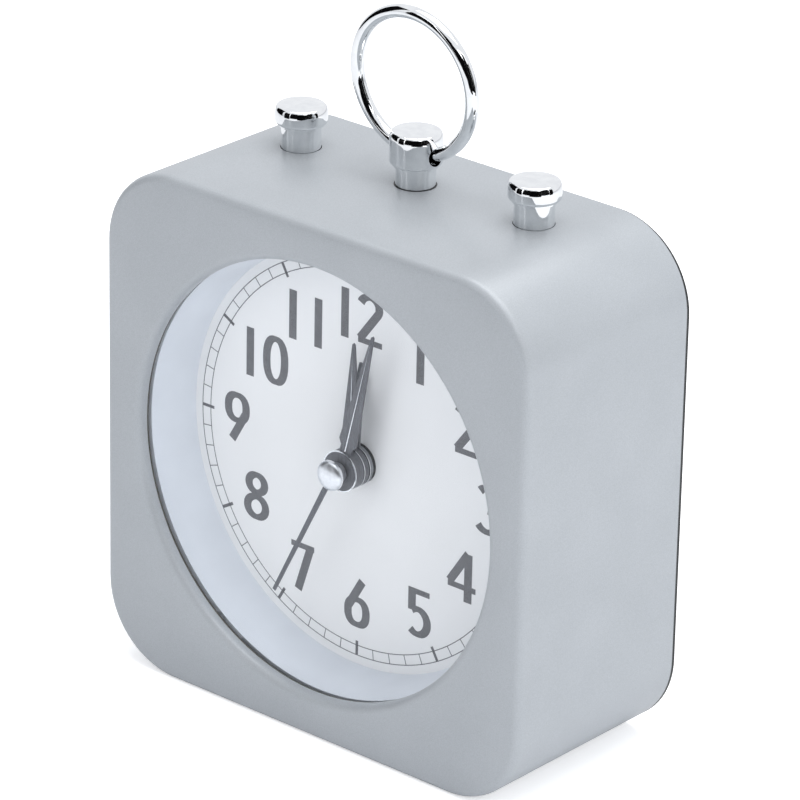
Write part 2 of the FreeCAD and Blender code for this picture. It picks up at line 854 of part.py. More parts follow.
def make_alarm_hand():
    """The lowest and plainest hand: a slim flat pointer on its boss."""
    back = dial_depth - alarm_hand_plane
    half = alarm_hand_width / 2
    tip = hand_tip_width / 2
    outline = [(-half, 0), (half, 0), (half, alarm_hand_length - alarm_hand_width * 2),
               (tip, alarm_hand_length),
               (-tip, alarm_hand_length), (-half, alarm_hand_length - alarm_hand_width * 2)]
    face = Part.Face(Part.makePolygon([at(point, back) for point in outline + outline[:1]]))
    blade = face.extrude(V(0, -hand_thickness, 0))
    boss_back = bush_proud + seat_gap
    boss = disc(centre_place, dial_depth - alarm_boss_front, hand_boss_radius, alarm_boss_front - boss_back)
    hole = disc(centre_place, 0, alarm_tube_outer, dial_depth)
    return turned(fuse([blade, boss]).cut(hole), alarm_hand_angle)


def make_hour_hand():
    return make_hand(hour_hand_length, hour_hand_width, hour_hand_plane, hour_boss_back, hour_boss_front,
                     hour_tube_outer, hour_hand_angle)


def make_minute_hand():
    return make_hand(minute_hand_length, minute_hand_width, minute_hand_plane, minute_boss_back,
                     minute_boss_front, minute_tube_outer, minute_hand_angle)


def make_second_hand():
    """A slim bar with a short tail, on a turned collar with a domed cap."""
    back = dial_depth - second_hand_plane
    half = second_hand_width / 2
    bar = block(-half, half, back - second_hand_thickness, back, axis_z - second_tail_length,
                axis_z + second_hand_length)
    collar = disc(centre_place, dial_depth - cap_back, second_collar_radius, cap_back - second_collar_back)
    dome_depth = dial_depth - cap_back - cap_rim_height
    dome_rise = cap_front - cap_back - cap_rim_height
    turns = [math.pi / 2 * step / cap_steps for step in range(cap_steps + 1)]
    dome = [(cap_radius * math.cos(turn), dome_depth - dome_rise * math.sin(turn)) for turn in turns[:-1]]
    foot = [(0, dial_depth - cap_back), (cap_radius, dial_depth - cap_back)]
    cap = revolve_y(foot + dome + [(0, dial_depth - cap_front)])
    hole = disc(centre_place, dial_depth - cap_back, second_arbor_radius, cap_back)
    return turned(fuse([bar, collar, cap]).cut(hole), second_hand_angle)


def make_knob(place, pinion, shaft_start):
    """A set knob: a gripped cap in the pocket, its shaft through the plate, and its pinion."""
    front = pocket_back + part_gap
    points = []
    for index in range(2 * knob_grip_count):
        radius = knob_radius - knob_grip_depth * (index % 2)
        points.append(at(polar(radius, index * 180 / knob_grip_count, place), front))
    cap = Part.Face(Part.makePolygon(points + points[:1])).extrude(V(0, knob_height, 0))
    shaft = disc(place, shaft_start, knob_shaft_radius, front - shaft_start + knob_height / 2)
    return fuse([cap, shaft, pinion])


def make_time_knob():
    travel = (time_knob_angle - motion_angle - 180) % (360 / motion_teeth)
    first = time_knob_angle + 180 + travel * motion_teeth / time_pinion_teeth
    pinion = gear(time_place, motion_level, time_pinion_teeth, motion_module, knob_shaft_radius / 2,
                  gap_angle(time_pinion_teeth, first), wheel_thickness)
    return make_knob(time_place, pinion, motion_level)


def make_alarm_knob():
    pinion = gear(alarm_place, alarm_level, alarm_pinion_teeth, alarm_module, knob_shaft_radius / 2,
                  gap_angle(alarm_pinion_teeth, alarm_knob_angle + 180), wheel_thickness)
    return make_knob(alarm_place, pinion, alarm_level)


def make_buzzer():
    return disc((buzzer_x, buzzer_rise), cover_inner - buzzer_height, buzzer_radius, buzzer_height)


def make_back_cover():
    inset = 2 * flange_inset
    flange = round_block(case_width - inset, case_height - inset, case_corner_radius - flange_inset,
                         case_back, total_depth, 0, axis_z)
    reach = case_width / 2 - case_corner_radius
    flange = flange.makeChamfer(cover_edge_chamfer, edges_on_y(flange, total_depth, reach))
    inner = 2 * (case_wall + seat_gap)
    panel = round_block(case_width - inset - inner, case_height - inset - inner,
                        case_corner_radius - case_wall - seat_gap,
                        cover_inner, case_back + flange_thickness / 2, 0, axis_z)
    rise = axis_z + pocket_rise
    pocket_shell = round_block(pocket_length + 2 * pocket_floor, pocket_height + 2 * pocket_floor,
                               pocket_height / 2 + pocket_floor, pocket_inner, cover_inner + pocket_floor,
                               0, rise)
    cover = fuse([flange, panel, pocket_shell])
    cuts = [round_block(pocket_length, pocket_height, pocket_height / 2, pocket_back, total_depth + overrun,
                        0, rise)]
    for corner in four_corners():
        cuts.append(disc(corner, 0, screw_shank_radius + seat_gap, total_depth + overrun))
        cuts.append(disc(corner, total_depth - screw_head_height - screw_sink, screw_head_radius + seat_gap,
                         screw_head_height + screw_sink + overrun))
    for place in (time_place, alarm_place):
        cuts.append(disc(place, pocket_inner - overrun, knob_shaft_radius + seat_gap,
                         pocket_floor + 2 * overrun))
    slot_w = (switch_stem_width + switch_travel) / 2 + switch_slot_gap
    slot_h = switch_stem_height / 2 + switch_slot_gap
    cuts.append(block(-slot_w, slot_w, pocket_inner - overrun, pocket_back + overrun, rise - slot_h,
                      rise + slot_h))
    cuts.extend(door_cuts())
    for index in range(sound_slot_count):
        middle = axis_z + buzzer_rise + (index - (sound_slot_count - 1) / 2) * sound_slot_pitch
        cuts.append(block(buzzer_x - sound_slot_length / 2, buzzer_x + sound_slot_length / 2,
                          cover_inner - overrun,
                          total_depth + overrun, middle - sound_slot_width / 2,
                          middle + sound_slot_width / 2))
    return cover.cut(cuts)


def door_hinge():
    """The hinge axis of the battery door, as a depth and a height."""
    return total_depth - door_thickness / 2, door_bottom + door_thickness / 2


def door_cuts():
    """The door's opening through the cover, its seat, the finger notch and the hinge holes."""
    half = door_width / 2
    through_half = half - door_ledge
    top = door_bottom + door_height
    seat_front = total_depth - door_thickness
    seat = block(-half - seat_gap, half + seat_gap, seat_front, total_depth + overrun,
                 door_bottom - seat_gap, top + seat_gap)
    through = block(-through_half, through_half, 0, total_depth + overrun, door_bottom - seat_gap,
                    top - door_ledge)
    notch_place = (0, top + door_notch_rise - door_notch_radius - axis_z)
    notch = disc(notch_place, total_depth - door_notch_depth, door_notch_radius, door_notch_depth + overrun)
    depth, z = door_hinge()
    reach = half + door_pin_length + running_gap
    holes = Part.makeCylinder(door_pin_radius + running_gap, 2 * reach, V(-reach, face_y + depth, z),
                              AXIS_X)
    return [seat, through, notch, holes]


def make_battery_door():
    half = door_width / 2
    depth, z = door_hinge()
    radius = door_thickness / 2
    top = door_bottom + door_height
    panel = block(-half, half, total_depth - door_thickness, total_depth, z, top)
    barrel = Part.makeCylinder(radius, door_width, V(-half, face_y + depth, z), AXIS_X)
    reach = half + door_pin_length
    pins = Part.makeCylinder(door_pin_radius, 2 * reach, V(-reach, face_y + depth, z), AXIS_X)
    pieces = [panel, barrel, pins]
    door = fuse(pieces)
    grooves = []
    for index in range(door_rib_count):
        groove_z = top - door_rib_pitch * (index + 1)
        grooves.append(block(-door_rib_length / 2, door_rib_length / 2, total_depth - door_rib_height,
                             total_depth + overrun,
                             groove_z - door_rib_width / 2, groove_z + door_rib_width / 2))
    return door.cut(grooves)


def make_cover_screws():
    """Four pan head screws, one solid each, sunk in the back cover."""
    screws = []
    head_back = total_depth - screw_sink
    head_front = head_back - screw_head_height
    for corner in four_corners():
        head = disc(corner, head_front, screw_head_radius, screw_head_height)
        shank = disc(corner, head_front - screw_length, screw_shank_radius,
                     screw_length + screw_head_height / 2)
        slots = []
        slot_reach = screw_slot_share * screw_head_radius
        for wide, high in ((slot_reach, screw_slot_width / 2), (screw_slot_width / 2, slot_reach)):
            slots.append(block(corner[0] - wide, corner[0] + wide, head_back - screw_slot_depth,
                               head_back + overrun, axis_z + corner[1] - high, axis_z + corner[1] + high))
        screws.append(fuse([head, shank]).cut(slots))
    return Part.makeCompound(screws)


def make_battery():
    left = battery_end - battery_length - battery_nub_length
    foot = V(left, face_y + battery_depth, battery_z)
    can = Part.makeCylinder(battery_radius, battery_length, foot, AXIS_X)
    can = can.makeChamfer(battery_edge_chamfer,
                          [edge for edge in can.Edges if edge.BoundBox.XLength < same_point])
    nub = Part.makeCylinder(battery_nub_radius, battery_length + battery_nub_length, foot, AXIS_X)
    return fuse([can, nub])


def contact_plate(x0, x1):
    half = contact_width / 2
    return block(x0, x1, battery_depth - half, battery_depth + half,
                 battery_z - contact_height / 2, battery_z + contact_height / 2)


def make_plus_contact():
    """The flat contact at the battery's plus end, standing against the bay's end wall."""
    wall = movement_width / 2 - bay_end_wall
    pad = Part.makeCylinder(battery_nub_radius, wall - battery_end,
                            V(battery_end, face_y + battery_depth, battery_z), AXIS_X)
    return fuse([contact_plate(wall - contact_thickness, wall), pad])


def make_minus_contact():
    """The contact at the minus end: a plate with a leaf bent out to the battery."""
    wall = -movement_width / 2 + bay_end_wall
    plate = contact_plate(wall, wall + contact_thickness)
    tip = battery_end - battery_length - battery_nub_length - running_gap
    y = face_y + battery_depth - leaf_width / 2
    outline = [
        V(wall, y, battery_z - leaf_rise),
        V(tip - contact_thickness, y, battery_z),
        V(wall, y, battery_z + leaf_rise),
        V(wall + contact_thickness, y, battery_z + leaf_rise),
        V(tip, y, battery_z),
        V(wall + contact_thickness, y, battery_z - leaf_rise),
    ]
    leaf = Part.Face(Part.makePolygon(outline + outline[:1])).extrude(V(0, leaf_width, 0))
    return fuse([plate, leaf])


def stud_outline(top, bottom):
    """The turned outline of a stud's head, from the axis down to the neck, as (radius, rise) corners."""
    curve_bottom = bottom + stud_skirt_height
    return [
        (0, top),
        (stud_head_radius - stud_top_radius, top),
        (stud_head_radius, top - stud_top_radius),
        (stud_head_radius, curve_bottom + stud_curve_height),
        (stud_skirt_radius, curve_bottom),
        (stud_skirt_radius, bottom),
        (stud_neck_radius, bottom),
    ]


def turned_stud(x, top, bottom, lower):
    """Revolve a stud from its head's outline and a list of (radius, rise) corners below the neck."""
    corners = stud_outline(top, bottom) + lower + [(0, lower[-1][1])]
    points = [V(radius, 0, rise) for radius, rise in corners]
    body = Part.Face(Part.makePolygon(points + points[:1])).revolve(V(0, 0, 0), AXIS_Z, 360)
    body.translate(stud_point(x, 0))
    return body


def make_button(x):
    """A push button: chrome head and neck, a stop flange under the roof and a tip on its key dome."""
    flange_top = -case_wall - button_stop_gap
    flange_bottom = flange_top - button_flange_thickness
    return turned_stud(x, stud_head_top, stud_head_bottom, [
        (stud_neck_radius, flange_top),
        (button_flange_radius, flange_top),
        (button_flange_radius, flange_bottom),
        (button_tip_radius, flange_bottom),
        (button_tip_radius, -button_tip_bottom),
    ])


def make_centre_post():
    """The fixed post that carries the ring: a shoulder on the roof and a shank through it."""
    post = turned_stud(0, post_head_top, post_head_bottom, [
        (stud_neck_radius, 0),
        (centre_shank_radius, 0),
        (centre_shank_radius, -centre_shank_length),
    ])
    reach = 2 * stud_head_radius
    return post.cut(Part.makeCylinder(ring_hole_radius, 2 * reach, stud_point(-reach, ring_hole_height),
                                      AXIS_X))


def make_post_nut():
    """The washer and the hexagon nut that hold the centre post, one solid each."""
    bore = centre_shank_radius
    under = -case_wall - washer_thickness
    washer = Part.makeCylinder(washer_radius, washer_thickness, stud_point(0, under), AXIS_Z)
    nut_bottom = under - nut_thickness
    corner = nut_flats / math.sqrt(3)
    points = []
    for side in range(nut_sides):
        x, y = polar(corner, side * 360 / nut_sides)
        points.append(stud_point(x, nut_bottom) + V(0, y, 0))
    nut = Part.Face(Part.makePolygon(points + points[:1])).extrude(V(0, 0, nut_thickness))
    hole = Part.makeCylinder(bore, centre_shank_length + overrun,
                             stud_point(0, -centre_shank_length - overrun), AXIS_Z)
    return Part.makeCompound([washer.cut(hole), nut.cut(hole)])


def make_carry_ring():
    """A closed round wire ring through the post's cross hole, leaning a little forward."""
    sag = ring_mean_radius - math.sqrt(ring_mean_radius ** 2 - stud_head_radius ** 2)
    lowest = ring_hole_height - sag / 2
    pivot = stud_point(0, ring_hole_height)
    centre = stud_point(0, lowest + ring_mean_radius)
    reach = ring_wire_radius / math.cos(math.pi / ring_wire_sides)
    points = []
    for side in range(ring_wire_sides):
        x, y = polar(reach, (side + 0.5) * 360 / ring_wire_sides)
        points.append(centre + V(ring_mean_radius + x, y, 0))
    ring = Part.Face(Part.makePolygon(points + points[:1])).revolve(centre, AXIS_Y, 360)
    ring.rotate(pivot, AXIS_X, ring_lean)
    return ring


def make_key_dome(x):
    """A moulded rubber dome that pushes a button back up."""
    neck = button_tip_radius + key_dome_wall
    outline = [
        (key_dome_radius, 0), (neck, key_dome_height), (0, key_dome_height),
        (0, key_dome_height - key_dome_wall), (key_dome_radius - key_dome_wall, 0),
    ]
    points = [V(radius, 0, rise) for radius, rise in outline]
    dome = Part.Face(Part.makePolygon(points + points[:1])).revolve(V(0, 0, 0), AXIS_Z, 360)
    dome.translate(stud_point(x, key_board_top - roof_z))
    return dome


def make_key_board():
    """The strip under the roof with one contact pad under each dome."""
    y = face_y + stud_depth
    half_w = key_board_width / 2
    half_d = key_board_depth / 2
    strip = Part.makeBox(key_board_width, key_board_depth, key_board_thickness,
                         V(-half_w, y - half_d, key_board_top - key_board_thickness))
    holes = []
    for side in (-1, 1):
        holes.append(upright(side * key_post_offset, key_pin_width,
                             key_board_top - key_board_thickness - overrun, key_board_top + overrun))
    pads = []
    for x in (-stud_offset, stud_offset):
        pads.append(upright(x, key_pad_width, key_board_top, key_board_top + key_pad_height))
    return fuse([strip.cut(holes)] + pads)


PARTS = {
    "case_shell": make_case_shell,
    "back_cover": make_back_cover,
    "cover_screws": make_cover_screws,
    "lens_gasket": make_lens_gasket,
    "lens": make_lens,
    "dial_ring": make_dial_ring,
    "dial": make_dial,
    "movement_housing": make_movement_housing,
    "movement_plate": make_movement_plate,
    "circuit_board": make_circuit_board,
    "switch_body": make_switch_body,
    "alarm_switch": make_alarm_switch,
    "stator": make_stator,
    "coil": make_coil,
    "rotor": make_rotor,
    "step_wheel": make_step_wheel,
    "second_wheel": make_second_wheel,
    "second_hand": make_second_hand,
    "third_wheel": make_third_wheel,
    "centre_wheel": make_centre_wheel,
    "minute_hand": make_minute_hand,
    "motion_wheel": make_motion_wheel,
    "hour_wheel": make_hour_wheel,
    "hour_hand": make_hour_hand,
    "alarm_wheel": make_alarm_wheel,
    "alarm_hand": make_alarm_hand,
    "time_knob": make_time_knob,
    "alarm_knob": make_alarm_knob,
    "buzzer": make_buzzer,
    "battery": make_battery,
    "plus_contact": make_plus_contact,
    "minus_contact": make_minus_contact,
    "battery_door": make_battery_door,
    "left_button": lambda: make_button(-stud_offset),
    "right_button": lambda: make_button(stud_offset),
    "left_key_dome": lambda: make_key_dome(-stud_offset),
    "right_key_dome": lambda: make_key_dome(stud_offset),
    "key_board": make_key_board,
    "centre_post": make_centre_post,
    "post_nut": make_post_nut,
    "carry_ring": make_carry_ring,
}

os.makedirs("parts", exist_ok=True)
for name, make in PARTS.items():
    shape = make()
    shape.exportStep("parts/" + name + ".step")
    print(name, "solids", len(shape.Solids), "valid", shape.isValid(), "volume", round(shape.Volume, 2))
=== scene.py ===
import bmesh
import bpy
import json
import math
from mathutils import Matrix, Vector


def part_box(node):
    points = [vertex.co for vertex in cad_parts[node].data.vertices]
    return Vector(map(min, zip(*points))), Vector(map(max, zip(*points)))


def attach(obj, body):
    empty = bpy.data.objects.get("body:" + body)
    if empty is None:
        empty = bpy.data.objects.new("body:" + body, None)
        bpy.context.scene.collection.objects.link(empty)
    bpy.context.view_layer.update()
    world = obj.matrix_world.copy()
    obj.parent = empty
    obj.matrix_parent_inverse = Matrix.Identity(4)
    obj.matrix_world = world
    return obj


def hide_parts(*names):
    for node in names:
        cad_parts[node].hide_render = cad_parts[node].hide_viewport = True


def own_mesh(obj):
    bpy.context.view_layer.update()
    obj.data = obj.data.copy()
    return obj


# Looks of the pendulette clock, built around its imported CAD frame.
# Frame: X to the viewer's right, +Z up, the dial faces -Y. Blender's lengths are in metres.

bl_info = {
    "name": "Pendulette clock",
    "version": (1, 0, 0),
    "blender": (4, 5, 0),
    "location": "3D View > Sidebar > Pendulette",
    "description": "Materials, dial printing, chrome pieces and studio stage for a small square clock",
    "category": "Object",
}

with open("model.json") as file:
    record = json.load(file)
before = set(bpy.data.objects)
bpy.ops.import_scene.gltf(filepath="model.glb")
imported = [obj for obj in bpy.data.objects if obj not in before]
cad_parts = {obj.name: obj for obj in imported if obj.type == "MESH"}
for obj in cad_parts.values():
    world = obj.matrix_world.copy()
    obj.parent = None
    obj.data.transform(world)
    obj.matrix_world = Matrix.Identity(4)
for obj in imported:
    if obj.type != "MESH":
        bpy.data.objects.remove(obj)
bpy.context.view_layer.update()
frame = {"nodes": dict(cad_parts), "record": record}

MM = 0.001

# Dial printing, in millimetres from the dial's centre. A second stroke of a digit lies print_layer_step of a
# thickness higher, and a stroke is closed where its ends are within closed_gap of its thin width.
numeral_height = 7.65
thin_stroke = 0.88
thick_stroke = 1.45
print_thickness = 0.02
print_layer_step = 0.25
track_outer = 31.0
track_inner = 29.4
track_line = 0.13
hour_tick_inner = 28.7
hour_tick_outer = 30.95
hour_tick_width = 0.48
dial_minutes = 60
minutes_per_hour_tick = 5
curve_steps = 28
closed_gap = 0.01
bowl_fullness = 0.84
numeral_places = (
    ("1", -3.32, 22.55), ("2", 1.5, 22.55), ("1", 11.05, 19.35), ("2", 20.1, 11.0), ("3", 24.5, -0.1),
    ("4", 19.7, -11.9), ("5", 11.8, -20.4), ("6", -0.1, -22.7), ("7", -10.87, -20.25), ("8", -20.1, -11.65),
    ("9", -24.1, 0.0), ("1", -21.6, 11.1), ("0", -16.6, 11.1), ("1", -13.32, 19.35), ("1", -8.4, 19.35),
)

# Hands, in millimetres and degrees
minute_angle = 13.9
hour_angle = 1.3
second_angle = 206.8
second_length = 24.5
second_tail = 2.0
second_width = 0.95
second_tip_share = 0.6
second_front = 6.1
second_thickness = 0.2
hub_radius = 3.1
hub_rim_width = 0.12
hub_rim_depth = 0.1
hub_rim_proud = 0.05
# The ridge strips are pale metal laid along each long blade as a painted highlight of its pressed ridge
ridge_highlight_width = 0.2
ridge_highlight_depth = 0.45
minute_blade_setback = 0.1
ridge_highlight_start = 3.4
minute_ridge_highlight_end = 22.2
hour_ridge_highlight_end = 18.6

# Turned chrome pieces, in millimetres above the roof or in front of the dial
stud_neck_radius = 2.95
stud_head_radius = 3.9
stud_skirt_radius = 3.3
stud_skirt_height = 0.3
stud_curve_height = 0.6
stud_rim_width = 0.5
stud_rim_height = 1.3
stud_head_top = 6.5
stud_head_bottom = 3.4
post_head_top = 8.2
post_head_bottom = 2.9
# The black ring round the centre post's foot is painted shade, the dark line where the post meets the roof
shade_ring_inner = 2.98
shade_ring_outer = 3.12
shade_ring_top = 0.07
shade_ring_bottom = 0.01
button_flange_top = -2.1
button_flange_bottom = -3.1
button_flange_radius = 3.6
button_tip_radius = 1.5
button_tip_bottom = -6.1
shank_radius = 1.8
shank_bottom = -6.0
cross_hole_radius = 1.45
cross_hole_height = 5.15
drill_length = 15.6
stud_y = 4.5
cap_radius = 2.3
cap_rim = 0.3
cap_back = 6.25
collar_radius = 1.5
collar_back = 4.7
lathe_steps = 96
corner_steps = 12

# Edges that turn by more than these degrees stay sharp, and points this near in millimetres are one
cad_crease = 34
turned_crease = 35
wire_crease = 60
weld_distance = 0.0005

# Black rim of the back cover, in millimetres: flush with the sides and a little below the roof
rim_inset = 0.02
rim_below_roof = 0.35
rim_depth = 0.56
rim_width = 0.6
rim_corner_radius = 12.9
rim_corner_steps = 24

# Carry ring, in millimetres and degrees
ring_mean_radius = 10.75
ring_wire_radius = 1.0
ring_lean = 4.0
ring_steps = 144
wire_steps = 32

# Weak reflection of the clear lens, as a share at a grazing view
lens_shine = 0.05

# Pitch of the coil's turns in millimetres, drawn far coarser than the real thin wire so that it shows
winding_pitch = 0.9

# Softboxes, in metres: name, place and side. They all face light_target.
softboxes = (
    ("side_softbox", (0.75, -0.15, 0.35), 0.7),
    ("front_softbox", (-0.3, -1.0, 0.45), 0.6),
    ("top_softbox", (0.05, 0.1, 0.9), 0.8),
)
light_target = (0, 0, 0.04)

# White paper floor: half its side in metres, and the glow that only the camera sees
floor_half_side = 3
floor_glow = 0.45

# Dark cards seen by reflections: azimuth in degrees, then distance, width and highest edge in metres
card_foot = 0.005
dark_cards = (
    (44, 0.34, 0.3, 0.3),
    (84, 0.55, 0.34, 0.55),
    (6, 0.6, 0.34, 0.5),
    (-26, 0.38, 0.18, 0.32),
    (-70, 0.6, 0.5, 0.6),
    (110, 0.42, 0.12, 0.3),
)

# Camera fitted to the photograph, in degrees and clock widths, with its lens and sensor in millimetres and
# the clock's width and the farthest view in metres
clock_width = 0.080
camera_azimuth = 40.523193
camera_elevation = 23.466176
camera_roll = 1.166858
camera_distance = 9.5367297
camera_shift_right = 0.0185824
camera_shift_up = 0.0887680
camera_lens = 236.03
camera_sensor = 36
camera_far = 20


# Colours and node helpers

def srgb(code):
    """A linear colour from an sRGB hex code, by the sRGB standard's own curve."""
    values = [int(code[index:index + 2], 16) / 255 for index in (0, 2, 4)]
    return tuple(v / 12.92 if v <= 0.04045 else ((v + 0.055) / 1.055) ** 2.4 for v in values) + (1.0,)


def add_node(tree, kind, inputs=None, **settings):
    """One node with its settings and its inputs, each a value or a socket to link from."""
    node = tree.nodes.new(kind)
    for key, value in settings.items():
        setattr(node, key, value)
    for key, value in (inputs or {}).items():
        if isinstance(value, bpy.types.NodeSocket):
            tree.links.new(value, node.inputs[key])
        else:
            node.inputs[key].default_value = value
    return node


def new_material(name, **uniform):
    """A material with its node tree and its shader, whose even inputs are given by name."""
    material = bpy.data.materials.new(name)
    material.use_nodes = True
    tree = material.node_tree
    shader = tree.nodes["Principled BSDF"]
    for key, value in uniform.items():
        shader.inputs[key.replace("_", " ")].default_value = value
    return material, tree, shader


def object_noise(tree, grain_mm, detail=3.0, stretch=(1, 1, 1)):
    """Noise with grains of a real size in millimetres, in object space."""
    place = add_node(tree, "ShaderNodeTexCoord")
    scaled = add_node(tree, "ShaderNodeMapping", {"Vector": place.outputs["Object"], "Scale": stretch})
    noise = add_node(tree, "ShaderNodeTexNoise",
                     {"Vector": scaled.outputs["Vector"], "Scale": 1 / (grain_mm * MM), "Detail": detail})
    return noise.outputs["Fac"]


def two_tones(tree, fac, dark, light, low=0.35, high=0.65):
    """A colour that runs between two close tones as the pattern goes from low to high."""
    ramp = add_node(tree, "ShaderNodeValToRGB", {"Fac": fac})
    ramp.color_ramp.elements[0].position = low
    ramp.color_ramp.elements[0].color = srgb(dark)
    ramp.color_ramp.elements[1].position = high
    ramp.color_ramp.elements[1].color = srgb(light)
    return ramp.outputs["Color"]


def add_bump(tree, shader, height, distance_mm, strength):
    """Relief from a pattern, with its depth in millimetres."""
    bump = add_node(tree, "ShaderNodeBump",
                    {"Height": height, "Distance": distance_mm * MM, "Strength": strength})
    tree.links.new(bump.outputs["Normal"], shader.inputs["Normal"])


def roughness_range(tree, shader, fac, low, high):
    """Roughness that follows a pattern between two values."""
    spread = add_node(tree, "ShaderNodeMapRange", {"Value": fac, "To Min": low, "To Max": high})
    tree.links.new(spread.outputs["Result"], shader.inputs["Roughness"])


# Materials

def satin_grey_lacquer():
    """Metallic grey lacquer sprayed over moulded ABS: fine flakes and a soft broad highlight.

    The flakes are drawn 0.12 mm wide, a few times coarser than real ones, so that they show at all.
    """
    material, tree, shader = new_material("satin_grey_lacquer", IOR=1.5, Metallic=0.12)
    cloud = object_noise(tree, grain_mm=14.0, detail=2.0)
    flake = object_noise(tree, grain_mm=0.12, detail=1.0)
    tone = two_tones(tree, cloud, "ABB0B5", "AFB4B9")
    spark = two_tones(tree, flake, "ECECEC", "FFFFFF", low=0.3, high=0.7)
    mixed = add_node(tree, "ShaderNodeMix", {"Factor": 1.0}, data_type="RGBA", blend_type="MULTIPLY")
    tree.links.new(tone, mixed.inputs["A"])
    tree.links.new(spark, mixed.inputs["B"])
    tree.links.new(mixed.outputs["Result"], shader.inputs["Base Color"])
    roughness_range(tree, shader, cloud, low=0.30, high=0.38)
    add_bump(tree, shader, flake, distance_mm=0.01, strength=0.08)
    return material


def moulded_plastic(name, dark, light, low, high, grain_mm=0.25, depth_mm=0.012):
    """Injection-moulded plastic from a spark-eroded tool: a fine even grain that breaks the highlight."""
    material, tree, shader = new_material(name, IOR=1.49)
    cloud = object_noise(tree, grain_mm=9.0, detail=2.0)
    grain = object_noise(tree, grain_mm)
    tree.links.new(two_tones(tree, cloud, dark, light), shader.inputs["Base Color"])
    roughness_range(tree, shader, grain, low, high)
    add_bump(tree, shader, grain, depth_mm, strength=0.25)
    return material


def moulded_rubber(name, dark, light):
    """Compression-moulded rubber: matt, with a trace of dusty bloom."""
    material, tree, shader = new_material(name, IOR=1.52, Sheen_Weight=0.05)
    bloom = object_noise(tree, grain_mm=3.0)
    tree.links.new(two_tones(tree, bloom, dark, light), shader.inputs["Base Color"])
    roughness_range(tree, shader, bloom, low=0.6, high=0.8)
    return material


def clear_acrylic():
    """Flat disc of clear cast acrylic: shows the dial, with a weak reflection that grows at a slant."""
    material, tree, shader = new_material("clear_cast_acrylic", IOR=1.49)
    smear = object_noise(tree, grain_mm=22.0, detail=2.0)
    clear = add_node(tree, "ShaderNodeBsdfTransparent", {"Color": srgb("FDFEFF")})
    shine = add_node(tree, "ShaderNodeBsdfGlossy", {"Color": srgb("FFFFFF")})
    spread = add_node(tree, "ShaderNodeMapRange", {"Value": smear, "To Min": 0.02, "To Max": 0.06})
    tree.links.new(spread.outputs["Result"], shine.inputs["Roughness"])
    slant = add_node(tree, "ShaderNodeLayerWeight", {"Blend": 0.3})
    part = add_node(tree, "ShaderNodeMath", {0: slant.outputs["Facing"], 1: lens_shine}, operation="MULTIPLY")
    mixed = add_node(tree, "ShaderNodeMixShader",
                     {0: part.outputs["Value"], 1: clear.outputs["BSDF"], 2: shine.outputs["BSDF"]})
    output = tree.nodes["Material Output"]
    tree.links.new(mixed.outputs["Shader"], output.inputs["Surface"])
    tree.nodes.remove(shader)
    return material


def printed_dial_lacquer():
    """Matt off-white lacquer rolled on a thin metal disc: almost even, with a faint orange peel."""
    material, tree, shader = new_material("off_white_dial_lacquer", IOR=1.5)
    cloud = object_noise(tree, grain_mm=18.0, detail=2.0)
    peel = object_noise(tree, grain_mm=0.5)
    tree.links.new(two_tones(tree, cloud, "F1F0EF", "F5F4F3"), shader.inputs["Base Color"])
    roughness_range(tree, shader, peel, low=0.5, high=0.6)
    add_bump(tree, shader, peel, distance_mm=0.004, strength=0.1)
    return material


def printing_ink():
    """Grey pad-printing ink: thin and matt, a little uneven where the pad lifted."""
    material, tree, shader = new_material("grey_pad_printing_ink", IOR=1.48)
    lift = object_noise(tree, grain_mm=0.8)
    tree.links.new(two_tones(tree, lift, "6B6B6E", "737376"), shader.inputs["Base Color"])
    roughness_range(tree, shader, lift, low=0.5, high=0.65)
    return material


def lacquered_hand(name, dark, light):
    """Dark lacquer sprayed on a pressed aluminium hand: satin, with fine lengthwise brushing beneath."""
    material, tree, shader = new_material(name, IOR=1.5, Metallic=0.3)
    brush = object_noise(tree, grain_mm=0.3, stretch=(1, 1, 0.1))
    tree.links.new(two_tones(tree, brush, dark, light), shader.inputs["Base Color"])
    roughness_range(tree, shader, brush, low=0.32, high=0.45)
    return material


def bright_chrome():
    """Bright decorative chrome over nickel: a mirror with a faint haze from polishing."""
    material, tree, shader = new_material("bright_chrome_plate", Metallic=1.0)
    haze = object_noise(tree, grain_mm=1.6)
    tree.links.new(two_tones(tree, haze, "E6E8EA", "EEF0F1"), shader.inputs["Base Color"])
    roughness_range(tree, shader, haze, low=0.02, high=0.07)
    return material


def plain_metal(name, dark, light, low, high):
    """Bare or plated metal: a close grain that softens and spreads the highlight."""
    material, tree, shader = new_material(name, Metallic=1.0)
    grain = object_noise(tree, grain_mm=0.6, detail=4.0)
    tree.links.new(two_tones(tree, grain, dark, light), shader.inputs["Base Color"])
    roughness_range(tree, shader, grain, low, high)
    return material


def copper_winding():
    """Enamelled copper wire wound on a bobbin: fine bright turns, with painted shade as dark lines between
    them.
    """
    material, tree, shader = new_material("enamelled_copper_winding", Metallic=0.9)
    place = add_node(tree, "ShaderNodeTexCoord")
    turns = add_node(tree, "ShaderNodeTexWave",
                     {"Vector": place.outputs["Object"], "Scale": 1 / (winding_pitch * MM)},
                     bands_direction="X")
    # Painted shade: the colour darkens in the grooves between the turns
    tree.links.new(two_tones(tree, turns.outputs["Fac"], "6B2C12", "C9713A"), shader.inputs["Base Color"])
    roughness_range(tree, shader, turns.outputs["Fac"], low=0.25, high=0.45)
    add_bump(tree, shader, turns.outputs["Fac"], distance_mm=0.03, strength=0.5)
    return material


